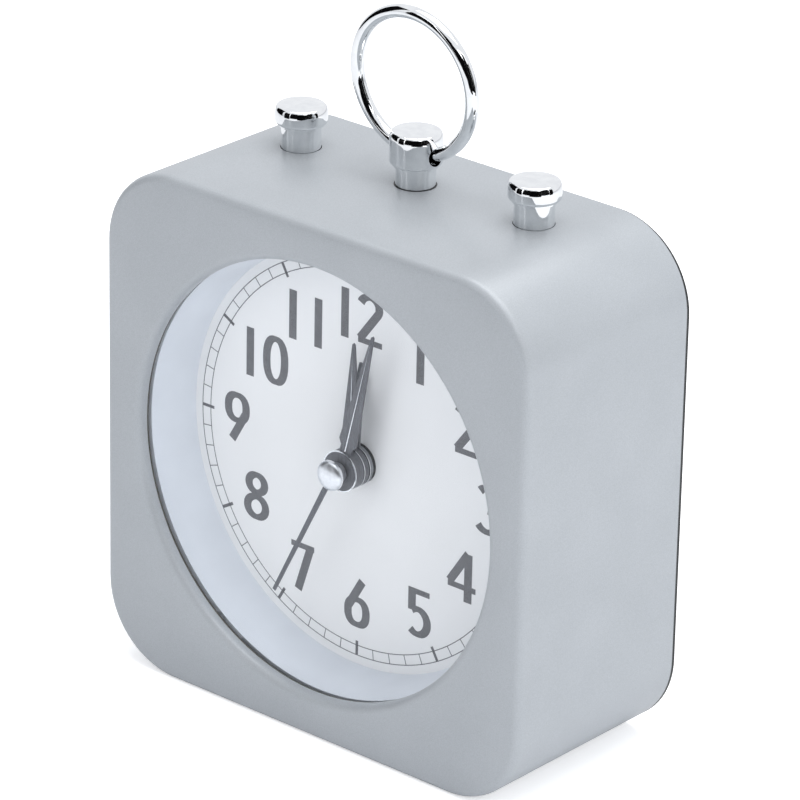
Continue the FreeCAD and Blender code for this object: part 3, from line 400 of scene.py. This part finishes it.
def slot_materials():
    """One material for each slot in the record."""
    return {
        "case_lacquer": satin_grey_lacquer(),
        "dark_abs": moulded_plastic("black_moulded_abs", "17181A", "1E1F21", low=0.4, high=0.55),
        "white_abs": moulded_plastic("white_moulded_abs", "DADEE4", "E0E4EA", low=0.3, high=0.42,
                                     grain_mm=0.4, depth_mm=0.006),
        "acrylic": clear_acrylic(),
        # The gasket's dark grey is both its rubber colour and painted shade of the gap between the lip and
        # the dial ring
        "gasket_rubber": moulded_rubber("dark_grey_rubber_and_gap_shade", "45443F", "504E4A"),
        "silicone": moulded_rubber("grey_moulded_silicone", "8C8D90", "989A9D"),
        "dial_card": printed_dial_lacquer(),
        "black_hands": lacquered_hand("dark_grey_hand_lacquer", "626367", "727378"),
        "alarm_hand_metal": lacquered_hand("grey_hand_lacquer", "828488", "8E9094"),
        "chrome": bright_chrome(),
        "acetal": moulded_plastic("natural_moulded_acetal", "DEDED8", "E8E8E2", low=0.28, high=0.4),
        "steel": plain_metal("zinc_plated_steel", "A9ABAF", "BBBDC0", low=0.28, high=0.42),
        "nickel_steel": plain_metal("nickel_plated_spring_steel", "BDB9AE", "CBC7BD", low=0.22, high=0.36),
        "brass": plain_metal("stamped_brass", "B8944F", "C9A560", low=0.25, high=0.4),
        "copper_wound": copper_winding(),
        "board": moulded_plastic("green_solder_mask", "0E3F20", "145028", low=0.25, high=0.4),
        "battery_sleeve": moulded_plastic("grey_shrink_sleeve", "4C4F54", "565A5F", low=0.2, high=0.32),
    }


# Mesh helpers

def dial_point(x, z, front):
    """A point in front of the dial's face, from millimetres about the dial's centre."""
    low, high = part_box("dial")
    return Vector((x * MM, low[1] - front * MM, (low[2] + high[2]) / 2 + z * MM))


def object_from_bmesh(name, mesh, material):
    """A new piece of one material, with its faces turned outwards."""
    bmesh.ops.recalc_face_normals(mesh, faces=mesh.faces)
    data = bpy.data.meshes.new(name)
    mesh.to_mesh(data)
    mesh.free()
    data.materials.append(material)
    piece = bpy.data.objects.new(name, data)
    bpy.context.scene.collection.objects.link(piece)
    return piece


def add_prism(mesh, corners, front, back):
    """A flat plate on the dial, from its (x, z) corners and its two distances before the dial."""
    top = [mesh.verts.new(dial_point(x, z, front)) for x, z in corners]
    bottom = [mesh.verts.new(dial_point(x, z, back)) for x, z in corners]
    mesh.faces.new(top)
    mesh.faces.new(list(reversed(bottom)))
    count = len(corners)
    for index in range(count):
        after = (index + 1) % count
        mesh.faces.new((top[index], top[after], bottom[after], bottom[index]))


def oval(cx, cz, rx, rz, start, stop):
    """Points of an oval arc, in degrees anticlockwise from +X."""
    count = max(4, round(curve_steps * abs(stop - start) / 360))
    turns = [math.radians(start + (stop - start) * index / count) for index in range(count + 1)]
    return [(cx + rx * math.cos(turn), cz + rz * math.sin(turn)) for turn in turns]


def add_stroke(mesh, path, place, thin, thick, front):
    """A pen stroke along a path: wide where it runs up and down, thin where it runs across."""
    closed = math.dist(path[0], path[-1]) < thin * closed_gap
    sides = []
    last = len(path) - 1
    for index, (x, z) in enumerate(path):
        before = path[last - 1] if closed and index == 0 else path[max(index - 1, 0)]
        after = path[1] if closed and index == last else path[min(index + 1, last)]
        dx, dz = after[0] - before[0], after[1] - before[1]
        length = math.hypot(dx, dz)
        half = (thin + (thick - thin) * abs(dz / length)) / 2
        across = (-dz / length * half, dx / length * half)
        sides.append(((x + across[0] + place[0], z + across[1] + place[1]),
                      (x - across[0] + place[0], z - across[1] + place[1])))
    for (a, b), (c, d) in zip(sides, sides[1:]):
        add_prism(mesh, (a, b, d, c), front, 0)


def full_oval(middle, half_width, half_height):
    """A closed oval with full shoulders, as the nought and the bowls of the 6 and 9 have."""
    def fuller(value):
        return math.copysign(abs(value) ** bowl_fullness, value)
    return [(half_width * fuller(x), middle + half_height * fuller(z)) for x, z in oval(0, 0, 1, 1, 0, 360)]


def digit_paths(digit, height, thin, thick):
    """The strokes of one digit about its centre, in the units of its height."""
    top = height / 2
    high = top - thin / 2
    half_thick = thick / 2
    narrow = height * 0.325 - half_thick
    bowl_height = height * 0.32 - thin / 2
    bowl_centre = -high + bowl_height
    small = height * 0.24 - thin / 2
    small_centre = high - small
    large = height * 0.27 - thin / 2
    large_centre = -high + large
    stem_foot = (-narrow * 0.86, bowl_centre + bowl_height * 0.45)
    stem_head = (narrow * 0.55, top)
    shapes = {
        "0": [full_oval(0, narrow, high)],
        "1": [[(0, -top), (0, top)]],
        "2": [oval(-narrow * 0.05, small_centre, narrow, small * 1.1, 165, -25)
              + [(-narrow * 1.1, -high + thin * 0.2)],
              [(-narrow * 1.28, -high), (narrow * 1.3, -high)]],
        "3": [oval(-narrow * 0.2, small_centre, narrow * 0.95, small, 150, -90),
              oval(-narrow * 0.2, large_centre, narrow * 1.1, large, 90, -150)],
        "4": [[(narrow * 0.62, top), (-narrow * 1.3, -top * 0.34)],
              [(-narrow * 1.48, -top * 0.43), (narrow * 1.48, -top * 0.43)],
              [(narrow * 0.66, top), (narrow * 0.66, -top)]],
        "5": [[(-narrow * 0.78, top), (-narrow * 0.78, height * 0.03)],
              [(-narrow * 1.15, high), (narrow * 1.1, high)],
              oval(-narrow * 0.15, bowl_centre, narrow * 1.06, bowl_height, 126, -134)],
        "6": [full_oval(bowl_centre, narrow, bowl_height), [stem_foot, stem_head]],
        "7": [[(-narrow * 1.28, high), (narrow * 1.28, high)],
              [(narrow * 0.86, high), (-narrow * 0.45, -top)]],
        "8": [oval(0, small_centre, narrow * 0.88, small, 0, 360),
              oval(0, large_centre, narrow * 1.02, large, 0, 360)],
    }
    if digit == "9":
        return [[(-x, -z) for x, z in path] for path in shapes["6"]]
    return shapes[digit]


def add_band(mesh, inner, outer, front, back, steps=180):
    """A flat ring round the dial's centre, as prisms."""
    for index in range(steps):
        turns = [2 * math.pi * (index + side) / steps for side in (0, 1)]
        spots = ((inner, turns[0]), (outer, turns[0]), (outer, turns[1]), (inner, turns[1]))
        corners = [(radius * math.cos(turn), radius * math.sin(turn)) for radius, turn in spots]
        add_prism(mesh, corners, front, back)


def hand_corners(angle, spots):
    """The (x, z) corners of a bar that points to a clockwise angle from 12, from (reach, offset) pairs."""
    turn = math.radians(90 - angle)
    x, z = math.cos(turn), math.sin(turn)
    return [(x * reach - z * offset, z * reach + x * offset) for reach, offset in spots]


def add_tick(mesh, minute, inner, outer, width):
    """One printed line of the minute track."""
    half = width / 2
    spots = ((inner, -half), (outer, -half), (outer, half), (inner, half))
    add_prism(mesh, hand_corners(minute * 360 / dial_minutes, spots), print_thickness, 0)


def lathe(name, outline, place, material, turned=Matrix.Identity(4)):
    """A turned piece from (radius, rise) points in millimetres, given in order from its top."""
    mesh = bmesh.new()
    turns = [2 * math.pi * index / lathe_steps for index in range(lathe_steps)]
    rings = []
    for radius, rise in outline:
        reach = radius * MM
        if radius == 0:
            spots = [(0, 0, rise * MM)]
        else:
            spots = [(reach * math.cos(t), reach * math.sin(t), rise * MM) for t in turns]
        rings.append([mesh.verts.new(spot) for spot in spots])
    for upper, lower in zip(rings, rings[1:]):
        for index in range(lathe_steps):
            after = (index + 1) % lathe_steps
            if len(upper) == 1:
                mesh.faces.new((upper[0], lower[index], lower[after]))
            elif len(lower) == 1:
                mesh.faces.new((upper[index], lower[0], upper[after]))
            else:
                mesh.faces.new((upper[index], lower[index], lower[after], upper[after]))
    bmesh.ops.transform(mesh, matrix=Matrix.Translation(place) @ turned, verts=mesh.verts)
    piece = object_from_bmesh(name, mesh, material)
    shade_smooth(piece, turned_crease)
    return piece


def quarter_turns():
    """Angles of a quarter of a turn, in radians, for rounded corners."""
    return [math.pi / 2 * index / corner_steps for index in range(corner_steps + 1)]


def head_outline(top, bottom):
    """A stud's head from the middle of its top down to the neck: a rounded rim and a swept skirt."""
    turns = quarter_turns()
    rim = [(stud_head_radius - stud_rim_width * (1 - math.sin(t)), top - stud_rim_height * (1 - math.cos(t)))
           for t in turns]
    low = bottom + stud_skirt_height
    width = stud_head_radius - stud_skirt_radius
    sweep = [(stud_head_radius - width * (1 - math.cos(t)), low + stud_curve_height * (1 - math.sin(t)))
             for t in turns]
    return [(0, top)] + rim + sweep + [(stud_skirt_radius, bottom), (stud_neck_radius, bottom)]


def shade_smooth(piece, degrees):
    """Smooth shading with sharp edges kept, done by modifiers, so that no vertex of the CAD is changed."""
    piece.data.polygons.foreach_set("use_smooth", [True] * len(piece.data.polygons))
    weld = piece.modifiers.new("one_skin", "WELD")
    weld.merge_threshold = weld_distance * MM
    split = piece.modifiers.new("sharp_edges", "EDGE_SPLIT")
    split.split_angle = math.radians(degrees)
    piece.data.update()


def stud_place(x):
    """The point on the roof where a stud stands, from its x in millimetres."""
    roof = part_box("case_shell")[1][2]
    return Vector((x * MM, stud_y * MM, roof))


# Settings shown in the sidebar

class PENDULETTE_PG_dial(bpy.types.PropertyGroup):
    numeral_height: bpy.props.FloatProperty(
        name="Numeral height", description="Height of the printed numbers in millimetres",
        default=numeral_height, min=4, max=9)
    hour_tick_width: bpy.props.FloatProperty(
        name="Hour tick width", description="Width of the hour ticks in millimetres",
        default=hour_tick_width, min=0.1, max=1)


class PENDULETTE_PG_stage(bpy.types.PropertyGroup):
    world_light: bpy.props.FloatProperty(
        name="Room light", description="Even white light from all sides", default=0.62, min=0, max=2)
    side_light: bpy.props.FloatProperty(
        name="Side light", description="Softbox on the right", default=3.3, unit="POWER")
    front_light: bpy.props.FloatProperty(
        name="Front light", description="Softbox left of the camera", default=1.6, unit="POWER")
    top_light: bpy.props.FloatProperty(
        name="Top light", description="Softbox above", default=5.3, unit="POWER")


# Operators, one for each group of pieces

class PENDULETTE_OT_finishes(bpy.types.Operator):
    """Give every CAD node the finish of its slot and smooth its curved faces"""
    bl_idname = "pendulette.finishes"
    bl_label = "Finishes"

    def execute(self, context):
        finishes = slot_materials()
        for entry in frame["record"]["subparts"]:
            node = frame["nodes"][entry["node"]]
            for slot in node.material_slots:
                slot.material = finishes[entry["material_slot"]]
            shade_smooth(node, cad_crease)
        return {"FINISHED"}


class PENDULETTE_OT_printing(bpy.types.Operator):
    """Print the numbers, the minute track and the hour ticks on the dial"""
    bl_idname = "pendulette.printing"
    bl_label = "Dial printing"

    def execute(self, context):
        settings = context.scene.pendulette_dial
        ink = printing_ink()
        numbers = bmesh.new()
        for digit, x, z in numeral_places:
            paths = digit_paths(digit, settings.numeral_height, thin_stroke, thick_stroke)
            for layer, path in enumerate(paths):
                front = print_thickness * (1 + layer * print_layer_step)
                add_stroke(numbers, path, (x, z), thin_stroke, thick_stroke, front)
        track = bmesh.new()
        for radius in (track_inner, track_outer):
            add_band(track, radius - track_line / 2, radius + track_line / 2, print_thickness, 0)
        for minute in range(dial_minutes):
            if minute % minutes_per_hour_tick == 0:
                add_tick(track, minute, hour_tick_inner, hour_tick_outer, settings.hour_tick_width)
            else:
                add_tick(track, minute, track_inner, track_outer, track_line)
        for name, mesh in (("dial_numbers", numbers), ("dial_track", track)):
            piece = object_from_bmesh(name, mesh, ink)
            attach(piece, "case")
        return {"FINISHED"}


class PENDULETTE_OT_hand_trim(bpy.types.Operator):
    """Add the bright cut rims of the hand hubs, and pale metal strips along the two long blades as painted
    highlights of their pressed ridges
    """
    bl_idname = "pendulette.hand_trim"
    bl_label = "Hand trim"

    def execute(self, context):
        # One pale metal for the hubs' bright cut rims and for the painted highlights along the blades' ridges
        cut = plain_metal("cut_aluminium_and_ridge_highlight", "D9DBDE", "EEF0F2", low=0.12, high=0.22)
        for node, body, angle, reach in (("minute_hand", "minutes", minute_angle, minute_ridge_highlight_end),
                                         ("hour_hand", "hours", hour_angle, hour_ridge_highlight_end),
                                         ("alarm_hand", "alarm", 0, 0)):
            dial_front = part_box("dial")[0][1]
            front = (dial_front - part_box(node)[0][1]) / MM
            mesh = bmesh.new()
            add_band(mesh, hub_radius - hub_rim_width, hub_radius + hub_rim_proud, front + hub_rim_proud,
                     front - hub_rim_depth, lathe_steps)
            if reach:
                # Painted highlight: a pale metal strip where the blade's pressed ridge catches the light
                half = ridge_highlight_width / 2
                corners = hand_corners(angle, ((ridge_highlight_start, -half), (reach, 0), (ridge_highlight_start, half)))
                blade_front = front if node == "hour_hand" else front - minute_blade_setback
                add_prism(mesh, corners, blade_front, blade_front - ridge_highlight_depth)
            piece = object_from_bmesh(body + "_rim_and_ridge_highlight", mesh, cut)
            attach(piece, body)
        return {"FINISHED"}


class PENDULETTE_OT_studs(bpy.types.Operator):
    """Turn the two chrome push buttons and the centre post, with a thin black ring at the post's foot as
    painted shade where it meets the roof
    """
    bl_idname = "pendulette.studs"
    bl_label = "Studs"

    def execute(self, context):
        chrome = bright_chrome()
        lower = [(stud_neck_radius, button_flange_top), (button_flange_radius, button_flange_top),
                 (button_flange_radius, button_flange_bottom), (button_tip_radius, button_flange_bottom),
                 (button_tip_radius, button_tip_bottom), (0, button_tip_bottom)]
        for node in ("left_button", "right_button"):
            low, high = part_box(node)
            place = stud_place((low[0] + high[0]) / 2 / MM)
            head = head_outline(stud_head_top, stud_head_bottom)
            piece = lathe(node + "_turned", head + lower, place, chrome)
            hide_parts(node)
            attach(piece, node)
        foot = [(stud_neck_radius, 0), (shank_radius, 0), (shank_radius, shank_bottom), (0, shank_bottom)]
        head = head_outline(post_head_top, post_head_bottom)
        post = lathe("centre_post_turned", head + foot, stud_place(0), chrome)
        drill_cross_hole(post)
        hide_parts("centre_post")
        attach(post, "case")
        # Painted shade: a thin black ring round the post's foot, where it meets the roof
        section = [(shade_ring_inner, shade_ring_top), (shade_ring_outer, shade_ring_top), (shade_ring_outer, shade_ring_bottom),
                   (shade_ring_inner, shade_ring_bottom), (shade_ring_inner, shade_ring_top)]
        black = frame["nodes"]["back_cover"].material_slots[0].material
        shade_ring = lathe("centre_post_shade_ring", section, stud_place(0), black)
        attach(shade_ring, "case")
        return {"FINISHED"}


def drill_cross_hole(post):
    """Cut the ring's hole through the post's head."""
    mesh = bmesh.new()
    place = Matrix.Translation(stud_place(0) + Vector((0, 0, cross_hole_height * MM)))
    bmesh.ops.create_cone(mesh, cap_ends=True, segments=lathe_steps, radius1=cross_hole_radius * MM,
                          radius2=cross_hole_radius * MM, depth=drill_length * MM,
                          matrix=place @ Matrix.Rotation(math.pi / 2, 4, "Y"))
    drill = object_from_bmesh("drill", mesh, post.data.materials[0])
    hole = post.modifiers.new("cross_hole", "BOOLEAN")
    hole.operation = "DIFFERENCE"
    hole.object = drill
    hole.solver = "EXACT"
    post.modifiers.move(len(post.modifiers) - 1, 1)
    shape = bpy.data.meshes.new_from_object(post.evaluated_get(bpy.context.evaluated_depsgraph_get()))
    post.modifiers.clear()
    post.data = shape
    bpy.data.objects.remove(drill)


class PENDULETTE_OT_key_domes(bpy.types.Operator):
    """Put the soft rubber domes under the buttons"""
    bl_idname = "pendulette.key_domes"
    bl_label = "Key domes"

    def execute(self, context):
        for side in ("left", "right"):
            node = side + "_key_dome"
            source = frame["nodes"][node]
            piece = bpy.data.objects.new(node + "_rubber", source.data.copy())
            bpy.context.scene.collection.objects.link(piece)
            piece.matrix_world = source.matrix_world
            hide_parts(node)
            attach(piece, "case")
            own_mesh(piece)
        return {"FINISHED"}


class PENDULETTE_OT_cover_rim(bpy.types.Operator):
    """Add the black rim of the back cover that shows as a thin line behind the case"""
    bl_idname = "pendulette.cover_rim"
    bl_label = "Cover rim"

    def execute(self, context):
        low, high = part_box("case_shell")
        right = high[0] / MM - rim_inset - rim_corner_radius
        top = high[2] / MM - rim_below_roof - rim_corner_radius
        bottom = low[2] / MM + rim_inset + rim_corner_radius
        corners = ((right, top, 0), (-right, top, 90), (-right, bottom, 180), (right, bottom, 270))
        mesh = bmesh.new()
        loops = []
        for inset, depth in ((0, 0), (0, rim_depth), (rim_width, rim_depth), (rim_width, 0)):
            reach = rim_corner_radius - inset
            outline = []
            for x, z, start in corners:
                for step in range(rim_corner_steps + 1):
                    turn = math.radians(start + 90 * step / rim_corner_steps)
                    outline.append((x + reach * math.cos(turn), z + reach * math.sin(turn)))
            loops.append([mesh.verts.new((x * MM, high[1] + depth * MM, z * MM)) for x, z in outline])
        for here, there in zip(loops, loops[1:] + loops[:1]):
            for index in range(len(here)):
                after = (index + 1) % len(here)
                mesh.faces.new((here[index], here[after], there[after], there[index]))
        black = frame["nodes"]["back_cover"].material_slots[0].material
        piece = object_from_bmesh("back_cover_rim", mesh, black)
        shade_smooth(piece, turned_crease)
        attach(piece, "case")
        return {"FINISHED"}


class PENDULETTE_OT_carry_ring(bpy.types.Operator):
    """Bend the smooth chrome wire ring that hangs in the centre post"""
    bl_idname = "pendulette.carry_ring"
    bl_label = "Carry ring"

    def execute(self, context):
        low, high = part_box("carry_ring")
        centre = Vector([(a + b) / 2 for a, b in zip(low, high)])
        mesh = bmesh.new()
        loops = []
        for step in range(ring_steps):
            turn = 2 * math.pi * step / ring_steps
            out = Vector((math.cos(turn), 0, math.sin(turn)))
            loop = []
            for side in range(wire_steps):
                angle = 2 * math.pi * side / wire_steps
                spot = out * (ring_mean_radius + ring_wire_radius * math.cos(angle)) * MM
                spot.y = ring_wire_radius * MM * math.sin(angle)
                loop.append(mesh.verts.new(spot))
            loops.append(loop)
        for step in range(ring_steps):
            here, there = loops[step], loops[(step + 1) % ring_steps]
            for side in range(wire_steps):
                after = (side + 1) % wire_steps
                mesh.faces.new((here[side], there[side], there[after], here[after]))
        lean = Matrix.Rotation(math.radians(ring_lean), 4, "X")
        bmesh.ops.transform(mesh, matrix=Matrix.Translation(centre) @ lean, verts=mesh.verts)
        piece = object_from_bmesh("carry_ring_wire", mesh, bright_chrome())
        shade_smooth(piece, wire_crease)
        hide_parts("carry_ring")
        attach(piece, "ring")
        return {"FINISHED"}


class PENDULETTE_OT_second_hand(bpy.types.Operator):
    """Make the slim grey second hand with its polished collar and domed cap"""
    bl_idname = "pendulette.second_hand"
    bl_label = "Second hand"

    def execute(self, context):
        dial_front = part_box("dial")[0][1]
        front = (dial_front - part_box("second_hand")[0][1]) / MM
        edge = cap_back + cap_rim
        dome = [(cap_radius * math.sin(t), edge + (front - edge) * math.cos(t)) for t in quarter_turns()]
        collar = [(cap_radius, cap_back), (collar_radius, cap_back), (collar_radius, collar_back),
                  (0, collar_back)]
        face_out = Matrix.Rotation(math.pi / 2, 4, "X")
        nickel = plain_metal("satin_polished_nickel", "E8E9EC", "F3F4F6", low=0.27, high=0.35)
        cap = lathe("second_hand_cap", dome + collar, dial_point(0, 0, 0), nickel, face_out)
        mesh = bmesh.new()
        half = second_width / 2
        tip = half * second_tip_share
        spots = ((-second_tail, -half), (second_length, -tip), (second_length, tip), (-second_tail, half))
        add_prism(mesh, hand_corners(second_angle, spots), second_front, second_front - second_thickness)
        grey = lacquered_hand("grey_second_hand_lacquer", "606166", "6C6D72")
        bar = object_from_bmesh("second_hand_bar", mesh, grey)
        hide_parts("second_hand")
        for piece in (cap, bar):
            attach(piece, "seconds")
        return {"FINISHED"}


class PENDULETTE_OT_stage(bpy.types.Operator):
    """Set up the pale floor, the soft lights, the white surroundings and the camera"""
    bl_idname = "pendulette.stage"
    bl_label = "Stage"

    def execute(self, context):
        settings = context.scene.pendulette_stage
        add_floor()
        add_world(settings.world_light)
        powers = (settings.side_light, settings.front_light, settings.top_light)
        for (name, place, side), power in zip(softboxes, powers):
            add_softbox(name, place, side, power)
        for index, card in enumerate(dark_cards):
            add_dark_card("dark_card_" + str(index), *card)
        add_camera()
        return {"FINISHED"}


def camera_axes():
    """The camera's right, up and back directions."""
    azimuth = math.radians(camera_azimuth)
    elevation = math.radians(camera_elevation)
    roll = math.radians(camera_roll)
    level = math.cos(elevation)
    back = Vector((math.sin(azimuth) * level, -math.cos(azimuth) * level, math.sin(elevation)))
    right = Vector((math.cos(azimuth), math.sin(azimuth), 0))
    up = back.cross(right)
    turned_right = math.cos(roll) * right + math.sin(roll) * up
    turned_up = -math.sin(roll) * right + math.cos(roll) * up
    return turned_right, turned_up, back


def add_camera():
    """The camera at the photograph's viewing angle."""
    right, up, back = camera_axes()
    low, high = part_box("case_shell")
    centre = Vector((0, 0, (low[2] + high[2]) / 2))
    aside = camera_shift_right * right + camera_shift_up * up
    place = centre + (aside + camera_distance * back) * clock_width
    data = bpy.data.cameras.new("photo_camera")
    data.sensor_width = camera_sensor
    data.lens = camera_lens
    data.clip_end = camera_far
    camera = bpy.data.objects.new("photo_camera", data)
    bpy.context.scene.collection.objects.link(camera)
    camera.matrix_world = Matrix.Translation(place) @ Matrix((right, up, back)).transposed().to_4x4()
    bpy.context.scene.camera = camera


def add_softbox(name, place, side, power):
    """A square softbox that faces the clock and that the camera doesn't see."""
    data = bpy.data.lights.new(name, "AREA")
    data.shape = "SQUARE"
    data.size = side
    data.energy = power
    light = bpy.data.objects.new(name, data)
    bpy.context.scene.collection.objects.link(light)
    light.location = place
    aim = Vector(light_target) - Vector(place)
    light.rotation_euler = aim.to_track_quat("-Z", "Y").to_euler()
    light.visible_camera = False


def add_dark_card(name, azimuth, distance, width, high):
    """An upright black card that only reflections see, as a dark corner of the studio."""
    middle = math.radians(azimuth)
    across = Vector((math.cos(middle), math.sin(middle), 0)) * width / 2
    centre = Vector((math.sin(middle), -math.cos(middle), 0)) * distance
    mesh = bmesh.new()
    for side, rise in ((-1, card_foot), (1, card_foot), (1, high), (-1, high)):
        mesh.verts.new(centre + side * across + Vector((0, 0, rise)))
    mesh.faces.new(mesh.verts)
    material, _, shader = new_material("black_felt", Roughness=1.0, Specular_IOR_Level=0.0)
    shader.inputs["Base Color"].default_value = srgb("0A0A0B")
    card = object_from_bmesh(name, mesh, material)
    card.visible_camera = False
    card.visible_diffuse = False
    card.visible_shadow = False
    card.visible_transmission = False


def add_floor():
    """A pale matt floor that reads as white paper and keeps the soft shadow."""
    mesh = bmesh.new()
    bmesh.ops.create_grid(mesh, x_segments=1, y_segments=1, size=floor_half_side)
    material, tree, shader = new_material("white_paper_floor", Roughness=0.9, Specular_IOR_Level=0.1)
    shader.inputs["Base Color"].default_value = srgb("F2F3F5")
    rays = add_node(tree, "ShaderNodeLightPath")
    lift = add_node(tree, "ShaderNodeMath", {0: rays.outputs["Is Camera Ray"], 1: floor_glow},
                    operation="MULTIPLY")
    shader.inputs["Emission Color"].default_value = srgb("FFFFFF")
    tree.links.new(lift.outputs["Value"], shader.inputs["Emission Strength"])
    object_from_bmesh("floor", mesh, material)


def add_world(strength):
    """Even white room light; the camera, reflections and clear pieces see plain white."""
    world = bpy.data.worlds.new("white_room")
    bpy.context.scene.world = world
    world.use_nodes = True
    tree = world.node_tree
    background = tree.nodes["Background"]
    rays = add_node(tree, "ShaderNodeLightPath")
    seen = rays.outputs["Is Camera Ray"]
    for kind in ("Is Glossy Ray", "Is Transmission Ray"):
        either = add_node(tree, "ShaderNodeMath", {0: seen, 1: rays.outputs[kind]}, operation="MAXIMUM")
        seen = either.outputs["Value"]
    level = add_node(tree, "ShaderNodeMapRange", {"Value": seen, "To Min": strength, "To Max": 1.0})
    background.inputs["Color"].default_value = srgb("FBFCFF")
    tree.links.new(level.outputs["Result"], background.inputs["Strength"])


class PENDULETTE_PT_panel(bpy.types.Panel):
    """The sidebar's list of settings and pieces"""
    bl_label = "Pendulette clock"
    bl_idname = "PENDULETTE_PT_panel"
    bl_space_type = "VIEW_3D"
    bl_region_type = "UI"
    bl_category = "Pendulette"

    def draw(self, context):
        for settings in (context.scene.pendulette_dial, context.scene.pendulette_stage):
            for name in settings.bl_rna.properties.keys():
                if name not in ("rna_type", "name"):
                    self.layout.prop(settings, name)
        for operator in OPERATORS:
            self.layout.operator(operator.bl_idname)


OPERATORS = (
    PENDULETTE_OT_finishes, PENDULETTE_OT_printing, PENDULETTE_OT_hand_trim, PENDULETTE_OT_studs,
    PENDULETTE_OT_key_domes, PENDULETTE_OT_cover_rim, PENDULETTE_OT_carry_ring, PENDULETTE_OT_second_hand,
    PENDULETTE_OT_stage,
)
CLASSES = (PENDULETTE_PG_dial, PENDULETTE_PG_stage) + OPERATORS + (PENDULETTE_PT_panel,)


def register():
    for item in CLASSES:
        bpy.utils.register_class(item)
    bpy.types.Scene.pendulette_dial = bpy.props.PointerProperty(type=PENDULETTE_PG_dial)
    bpy.types.Scene.pendulette_stage = bpy.props.PointerProperty(type=PENDULETTE_PG_stage)


def unregister():
    del bpy.types.Scene.pendulette_stage
    del bpy.types.Scene.pendulette_dial
    for item in reversed(CLASSES):
        bpy.utils.unregister_class(item)


def main():
    """Build every piece and the stage."""
    register()
    bpy.context.scene.view_settings.view_transform = "Standard"
    bpy.ops.pendulette.finishes()
    bpy.ops.pendulette.printing()
    bpy.ops.pendulette.hand_trim()
    bpy.ops.pendulette.studs()
    bpy.ops.pendulette.key_domes()
    bpy.ops.pendulette.cover_rim()
    bpy.ops.pendulette.carry_ring()
    bpy.ops.pendulette.second_hand()
    bpy.ops.pendulette.stage()


if __name__ == "__main__":
    main()
